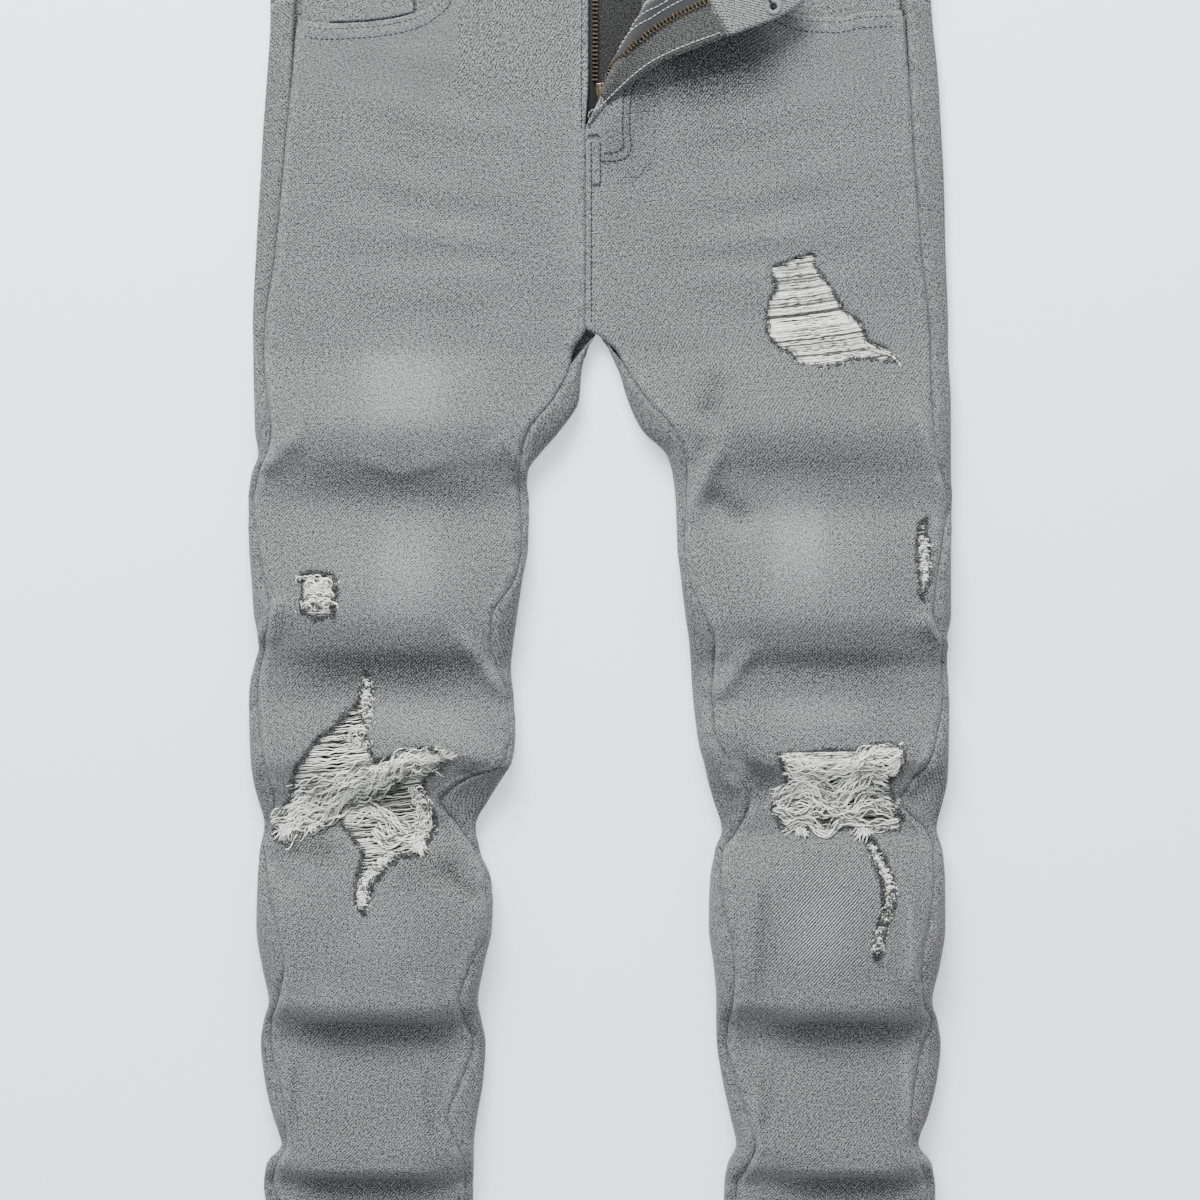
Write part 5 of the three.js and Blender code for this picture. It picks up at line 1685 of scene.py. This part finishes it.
tab = rounded(joined(foot, top, *sides), 0.2 * MM, 2)
finish_piece(tab, "zip_pull_tab", BRONZE, "pull_tab")

# %% [markdown]
# A shank button is turned metal, so its outline is spun round one axis.

# %% The waist button
BUTTON_LOW, BUTTON_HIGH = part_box("button")
button_x, button_y = (BUTTON_LOW.x + BUTTON_HIGH.x) / 2, (BUTTON_LOW.y + BUTTON_HIGH.y) / 2
profile = np.array([[0.0, 0], [3, 0], [3, 1.5], [7.6, 1.6], [8.3, 2.0], [8.5, 2.5], [8.2, 3.0],
                    [7.3, 3.3], [6.7, 3.0], [5.6, 3.1], [3.4, 3.9], [2.2, 3.6], [1.2, 3.9],
                    [0.0, 4.0]]) * MM
angle = np.linspace(0, 2 * math.pi, 48, endpoint=False)
rings = np.stack([profile[1:-1, 0:1] * np.cos(angle) + button_x,
                  profile[1:-1, 0:1] * np.sin(angle) + button_y,
                  profile[1:-1, 1:2] + 0 * angle + BUTTON_LOW.z], axis=-1)
points = np.concatenate([rings.reshape(-1, 3), [[button_x, button_y, BUTTON_LOW.z],
                                                [button_x, button_y, BUTTON_LOW.z + 4.0 * MM]]])
faces = [tuple(f) for f in net_faces(len(rings), 48, closed=True)]
last = (len(rings) - 1) * 48
faces += [(len(points) - 2, (k + 1) % 48, k) for k in range(48)]
faces += [(len(points) - 1, last + k, last + (k + 1) % 48) for k in range(48)]
finish_piece(make_mesh("button", points, faces), "button", ANTIQUE, BODY)

# %% [markdown]
# ## Belt loops
#
# A belt loop is a narrow strip folded to its width, sewn down at both ends. Its middle stands a
# little off the band on the front; at the back it is pressed flat by the weight of the jeans.

# %% Five loops
for node, raised_by in (("front_right", 1), ("front_left", 1), ("back_right", 0),
                        ("back_middle", 0), ("back_left", 0)):
    low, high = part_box(f"belt_loop_{node}")
    rows = np.linspace(0, 1, 40)[:, None]
    columns = np.linspace(0, 1, 12)[None, :]
    x = mix(low.x, high.x, columns) + 0 * rows
    y = mix(high.y, low.y, rows) + 0 * columns
    ribs = 0.12 * MM * np.exp(-(((np.abs(columns - 0.5) - 0.32) / 0.1) ** 2))
    stand = raised_by * 0.9 * MM * np.sin(math.pi * np.clip((rows - 0.1) / 0.8, 0, 1)) ** 0.7
    z = (low.z + high.z) / 2 + (ribs if raised_by else 0) + stand
    edge = np.minimum(columns, 1 - columns) * (high.x - low.x)
    at = np.stack([x, y, z + 0 * x], axis=-1)
    cloth(f"belt_loop_{node}", at, DENIM_POCKET, False, 0.9 * MM,
          {"wash_and_painted_light": 0 * x, "seam": np.exp(-((edge / (2 * MM)) ** 2)) + 0 * x})

# %% [markdown]
# ## Stitches
#
# A lockstitch shows as a row of short dashes that sink at their ends. Each dash is a tiny tube
# laid along the cloth. The rows follow the seams by their distance from the edge, in the same
# flat coordinates as the panels, so the ones on the flap turn out with it.

# %% Rows of stitches
STITCH_LENGTH, STITCH_GAP = 2.4 * MM, 0.8 * MM
STITCH_RISE = 0.82 * MM


def dashes(path, normals, length=STITCH_LENGTH, gap=STITCH_GAP):
    """Cuts a path into short arched dashes."""
    run = np.concatenate([[0], np.cumsum(np.linalg.norm(np.diff(path, axis=0), axis=1))])
    made = []
    for start in np.arange(0, run[-1] - length, length + gap):
        s = start + np.linspace(0, length, 4)
        place = np.stack([np.interp(s, run, path[:, k]) for k in range(3)], axis=1)
        up = np.stack([np.interp(s, run, normals[:, k]) for k in range(3)], axis=1)
        arch = np.array([-0.35, 0.1, 0.1, -0.35])[:, None] * MM
        made.append(place + up * arch)
    return made


def flat_row(place, outs, ys, lift=STITCH_RISE):
    """A row through flat points in millimetres, on one front: place is on_left or on_right."""
    keys = np.concatenate([[0], np.cumsum(np.hypot(np.diff(outs), np.diff(ys)))])
    s = np.linspace(0, keys[-1], max(8, int(keys[-1] / 1.2)))
    out, y = smooth_curve(keys, np.array(outs, float))(s), smooth_curve(keys, np.array(ys, float))(s)
    at, normal = place(out * MM, y * MM, lift + 0 * s)
    return dashes(at, normal if lift > 0 else -normal)


def zigzag(path, normals, width, pitch):
    """A zigzag about a path, for serged edges and bartacks."""
    run = np.concatenate([[0], np.cumsum(np.linalg.norm(np.diff(path, axis=0), axis=1))])
    s = np.arange(0, run[-1], pitch / 2)
    place = np.stack([np.interp(s, run, path[:, k]) for k in range(3)], axis=1)
    up = np.stack([np.interp(s, run, normals[:, k]) for k in range(3)], axis=1)
    side = np.cross(np.gradient(place, axis=0), up)
    side /= np.linalg.norm(side, axis=1, keepdims=True)
    swing = np.where(np.arange(len(s)) % 2 == 0, 0.5, -0.5)[:, None] * width
    return place + side * swing


THREAD = 0.44 * MM
mouth_out = np.linspace(88, 181, 40)
rows = {"right": [], "left": []}
for side_name, place, mouth, leg in (("right", on_right, RIGHT_MOUTH, RIGHT),
                                     ("left", on_left, LEFT_MOUTH, LEFT)):
    for below in (3.2, 9.4):
        ys = mouth(mouth_out * MM) / MM - below - 0.06 * below * np.maximum(0, 96 - mouth_out)
        rows[side_name] += flat_row(place, mouth_out, ys)
    hem_outs = np.linspace(float(leg.outseam(-0.402)) / MM - 1, float(leg.inner_seam(-0.402)) / MM + 1, 40)
    rows[side_name] += flat_row(place, hem_outs, 0 * hem_outs - 402)
rows["right"] += flat_row(on_right, [10.9, 10.9], [258, 364])
rows["right"] += flat_row(on_right, [111, 111], [329, 350])
tubes("stitches_right", rows["right"], THREAD, STITCH_DARK, 4)

J_OUTER = [(22.2, 290), (18.6, 278), (17.4, 267), (17.4, 257.4), (18.4, 248), (17, 242.4),
           (13.6, 240), (7.8, 238.8), (0.6, 238.8)]
J_INNER = [(17.6, 290), (14.4, 278), (13.3, 267), (13.2, 257.4), (13.8, 249.6), (12.6, 246),
           (10, 244.4), (6.6, 243.6), (0.6, 243.4)]
left_rows = rows["left"]
for line in (J_OUTER, J_INNER):
    left_rows += flat_row(on_left, [x for x, _ in line], [y for _, y in line])
for out, foot in ((-5.2, 141), (0.2, 224)):
    left_rows += flat_row(on_left, [out, out], [250, foot])
left_rows += flat_row(on_left, [-5.8, -5.8], [258, 362])
tubes("stitches_left", left_rows, THREAD, STITCH_DARK, 4)

# %% [markdown]
# The inner rows run along the tape and edges. A zigzag stands for bartacks and serging.

# %% Stitches inside the flap, the bartacks and the serged edges
flap_run = np.linspace(34, 107, 90) * MM
inside_rows = []
for beyond in (4.6, 8.2):
    at, normal = flap_place(flap_run, chain_edge(flap_run) + beyond * MM, 0.75 * MM + 0 * flap_run)
    inside_rows += dashes(at, -normal)
at, normal = flap_place(np.linspace(6, 107, 120) * MM, 3.2 * MM, 0.0 + np.zeros(120))
inside_rows += dashes(at, -normal)
for beyond in (12.6, 13.4):
    at, normal = flap_place(flap_run, chain_edge(flap_run) + beyond * MM, 0.5 * MM + 0 * flap_run)
    inside_rows.append(zigzag(at, normal, 2.6 * MM, 1.5 * MM))
shield_y = np.linspace(250, 364, 140) * MM
shield_edge = np.stack([0 * shield_y + 26.5 * MM, shield_y, 0 * shield_y + SHIELD_HIGH.z], axis=1)
inside_rows.append(zigzag(shield_edge, np.tile([0, 0, 1.0], (140, 1)), 2.6 * MM, 1.5 * MM))
tubes("stitches_inside", inside_rows, 0.24 * MM, WEFT, 4)


def bartack(place, out, y, across, up, lift=STITCH_RISE):
    """A dense zigzag bar, centred on a flat place in millimetres."""
    s = np.linspace(-0.5, 0.5, 12)
    at, normal = place((out + across * s) * MM, (y + up * s) * MM, lift + 0 * s)
    return zigzag(at, normal, 1.9 * MM, 0.55 * MM)


tacks = [bartack(on_left, -3.8, 254.0, 6.4, 0.4), bartack(on_left, -2.6, 224.5, 5.5, 0),
         bartack(on_right, 181, 321.5, 0.8, 8), bartack(on_left, 181, 326, 0.8, 8)]
tubes("bartacks", tacks, 0.3 * MM, STITCH_DARK, 4)

# %% [markdown]
# ## The waistband's stitches and its buttonhole
#
# The band is stitched all round, close to its edges. The keyhole buttonhole has a thick rim of
# purl stitches, radial round the eye and square to the slot.

# %% Band and buttonhole
BAND_AT = band_net()[0]
OVER = np.cross(np.diff(BAND_AT, axis=1)[:-1], np.diff(BAND_AT, axis=0)[:, :-1])
OVER /= np.maximum(np.linalg.norm(OVER, axis=2, keepdims=True), 1e-12)
band_rows_made = []
for row in (2, 22):
    path, up = BAND_AT[row, :-1], -OVER[row]
    band_rows_made += dashes(path + up * 1.15 * MM, up)
    band_rows_made += dashes(path - up * 1.15 * MM, -up)
end = BAND_AT[2:23, -3]
end_up = -OVER[2:23, -3]
band_rows_made += dashes(end - end_up * 1.15 * MM, -end_up)
tubes("stitches_band", band_rows_made, 0.28 * MM, STITCH, 4)

EYE, SLOT_WAY = np.array([103.2, 328.9]), np.array([-0.5, 0.866])
SLOT_SIDE = np.array([SLOT_WAY[1], -SLOT_WAY[0]])
ON_FLAP = BAND_AT[BAND_AT[..., 2] > 13 * MM]


def band_height(x, y):
    """The height of the turned-out band's upper face over a place."""
    away = np.hypot(ON_FLAP[:, 0] - x, ON_FLAP[:, 1] - y)
    near = np.argsort(away)[:4]
    return float(np.mean(ON_FLAP[near, 2])) + 1.0 * MM


rim = []
for k in range(64):
    if k < 34:
        angle = math.radians(35 + 290 * k / 33)
        way = math.cos(angle) * SLOT_WAY + math.sin(angle) * SLOT_SIDE
        inner_end, outer_end = EYE + 2.3 * way, EYE + 4.9 * way
    else:
        side, step = (1 if k % 2 else -1), (k - 34) // 2
        base = EYE + (2.6 + step * 0.98) * SLOT_WAY
        inner_end, outer_end = base + side * 0.8 * SLOT_SIDE, base + side * 2.9 * SLOT_SIDE
    ends = [inner_end + t * (outer_end - inner_end) for t in (0, 0.35, 0.7, 1)]
    lifts = (0.0, 0.55, 0.5, -0.2)
    rim.append(np.array([[p[0] * MM, p[1] * MM, band_height(p[0] * MM, p[1] * MM) + up * MM]
                         for p, up in zip(ends, lifts)]))
tubes("buttonhole_rim", rim, 0.46 * MM, STITCH, 5)

# %% [markdown]
# Small scratches and loose tufts mark where the cloth was rubbed.

# %% Scratches and tufts
def scratch(points, lift=0.62):
    points = np.array(points, float)
    t = np.linspace(0, 1, 14)
    keys = np.linspace(0, 1, len(points))
    return ground_path(smooth_curve(keys, points[:, 0])(t), smooth_curve(keys, points[:, 1])(t),
                       lift + 0 * t)


lines = [scratch([(90, 207), (92.5, 196), (97, 184), (99, 178)]),
         scratch([(91, 206), (93.5, 195), (97.6, 184)]),
         scratch([(132, 207), (129, 196), (126.5, 185)]),
         scratch([(131.2, 205), (128.4, 195)])]
tubes("scratches", lines, 0.16 * MM, STITCH, 3)


def tuft(x, y, spread, length, heading, count, random):
    """Loose yarn ends that fan out from a place."""
    made = []
    for _ in range(count):
        angle = heading + random.uniform(-spread, spread)
        reach, bend = length * random.uniform(0.5, 1.1), random.uniform(-0.5, 0.5)
        t = np.linspace(0, 1, 7)
        a = angle + bend * t
        x0, y0 = x + random.uniform(-3.5, 3.5), y + random.uniform(-1.5, 1.5)
        made.append(ground_path(x0 + reach * t * np.cos(a), y0 + reach * t * np.sin(a),
                                0.8 + 1.6 * np.sin(math.pi * t * 0.8)))
    return made


down = -math.pi / 2
ends = (tuft(-108, -168, 0.6, 9, down, 26, R) + tuft(157, -160, 0.8, 8, down, 26, R)
        + tuft(-186, -160, 0.5, 9, down - 0.6, 26, R) + tuft(-172, -158, 0.6, 6, down, 14, R)
        + tuft(120, -161, 0.7, 6, down, 16, R) + tuft(172, -127, 0.6, 7, 0.2, 14, R)
        + tuft(-92, -118, 0.6, 6, 0.3, 14, R))
tubes("tufts", ends, 0.30 * MM, WEFT, 4,
      values=list(R.uniform(-0.1, 0.3, len(ends))))

# %% [markdown]
# ## Names of the tear meshes
#
# torn gives the names of the weft and fringe meshes of the given tears.
# Nothing below calls it.


def torn(*names):
    return [f"{kind}_{name}" for name in names for kind in ("weft", "fray")]


# %% Finish
low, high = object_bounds()
print("model box in mm:", [round(v / MM, 1) for v in (*low, *high)])
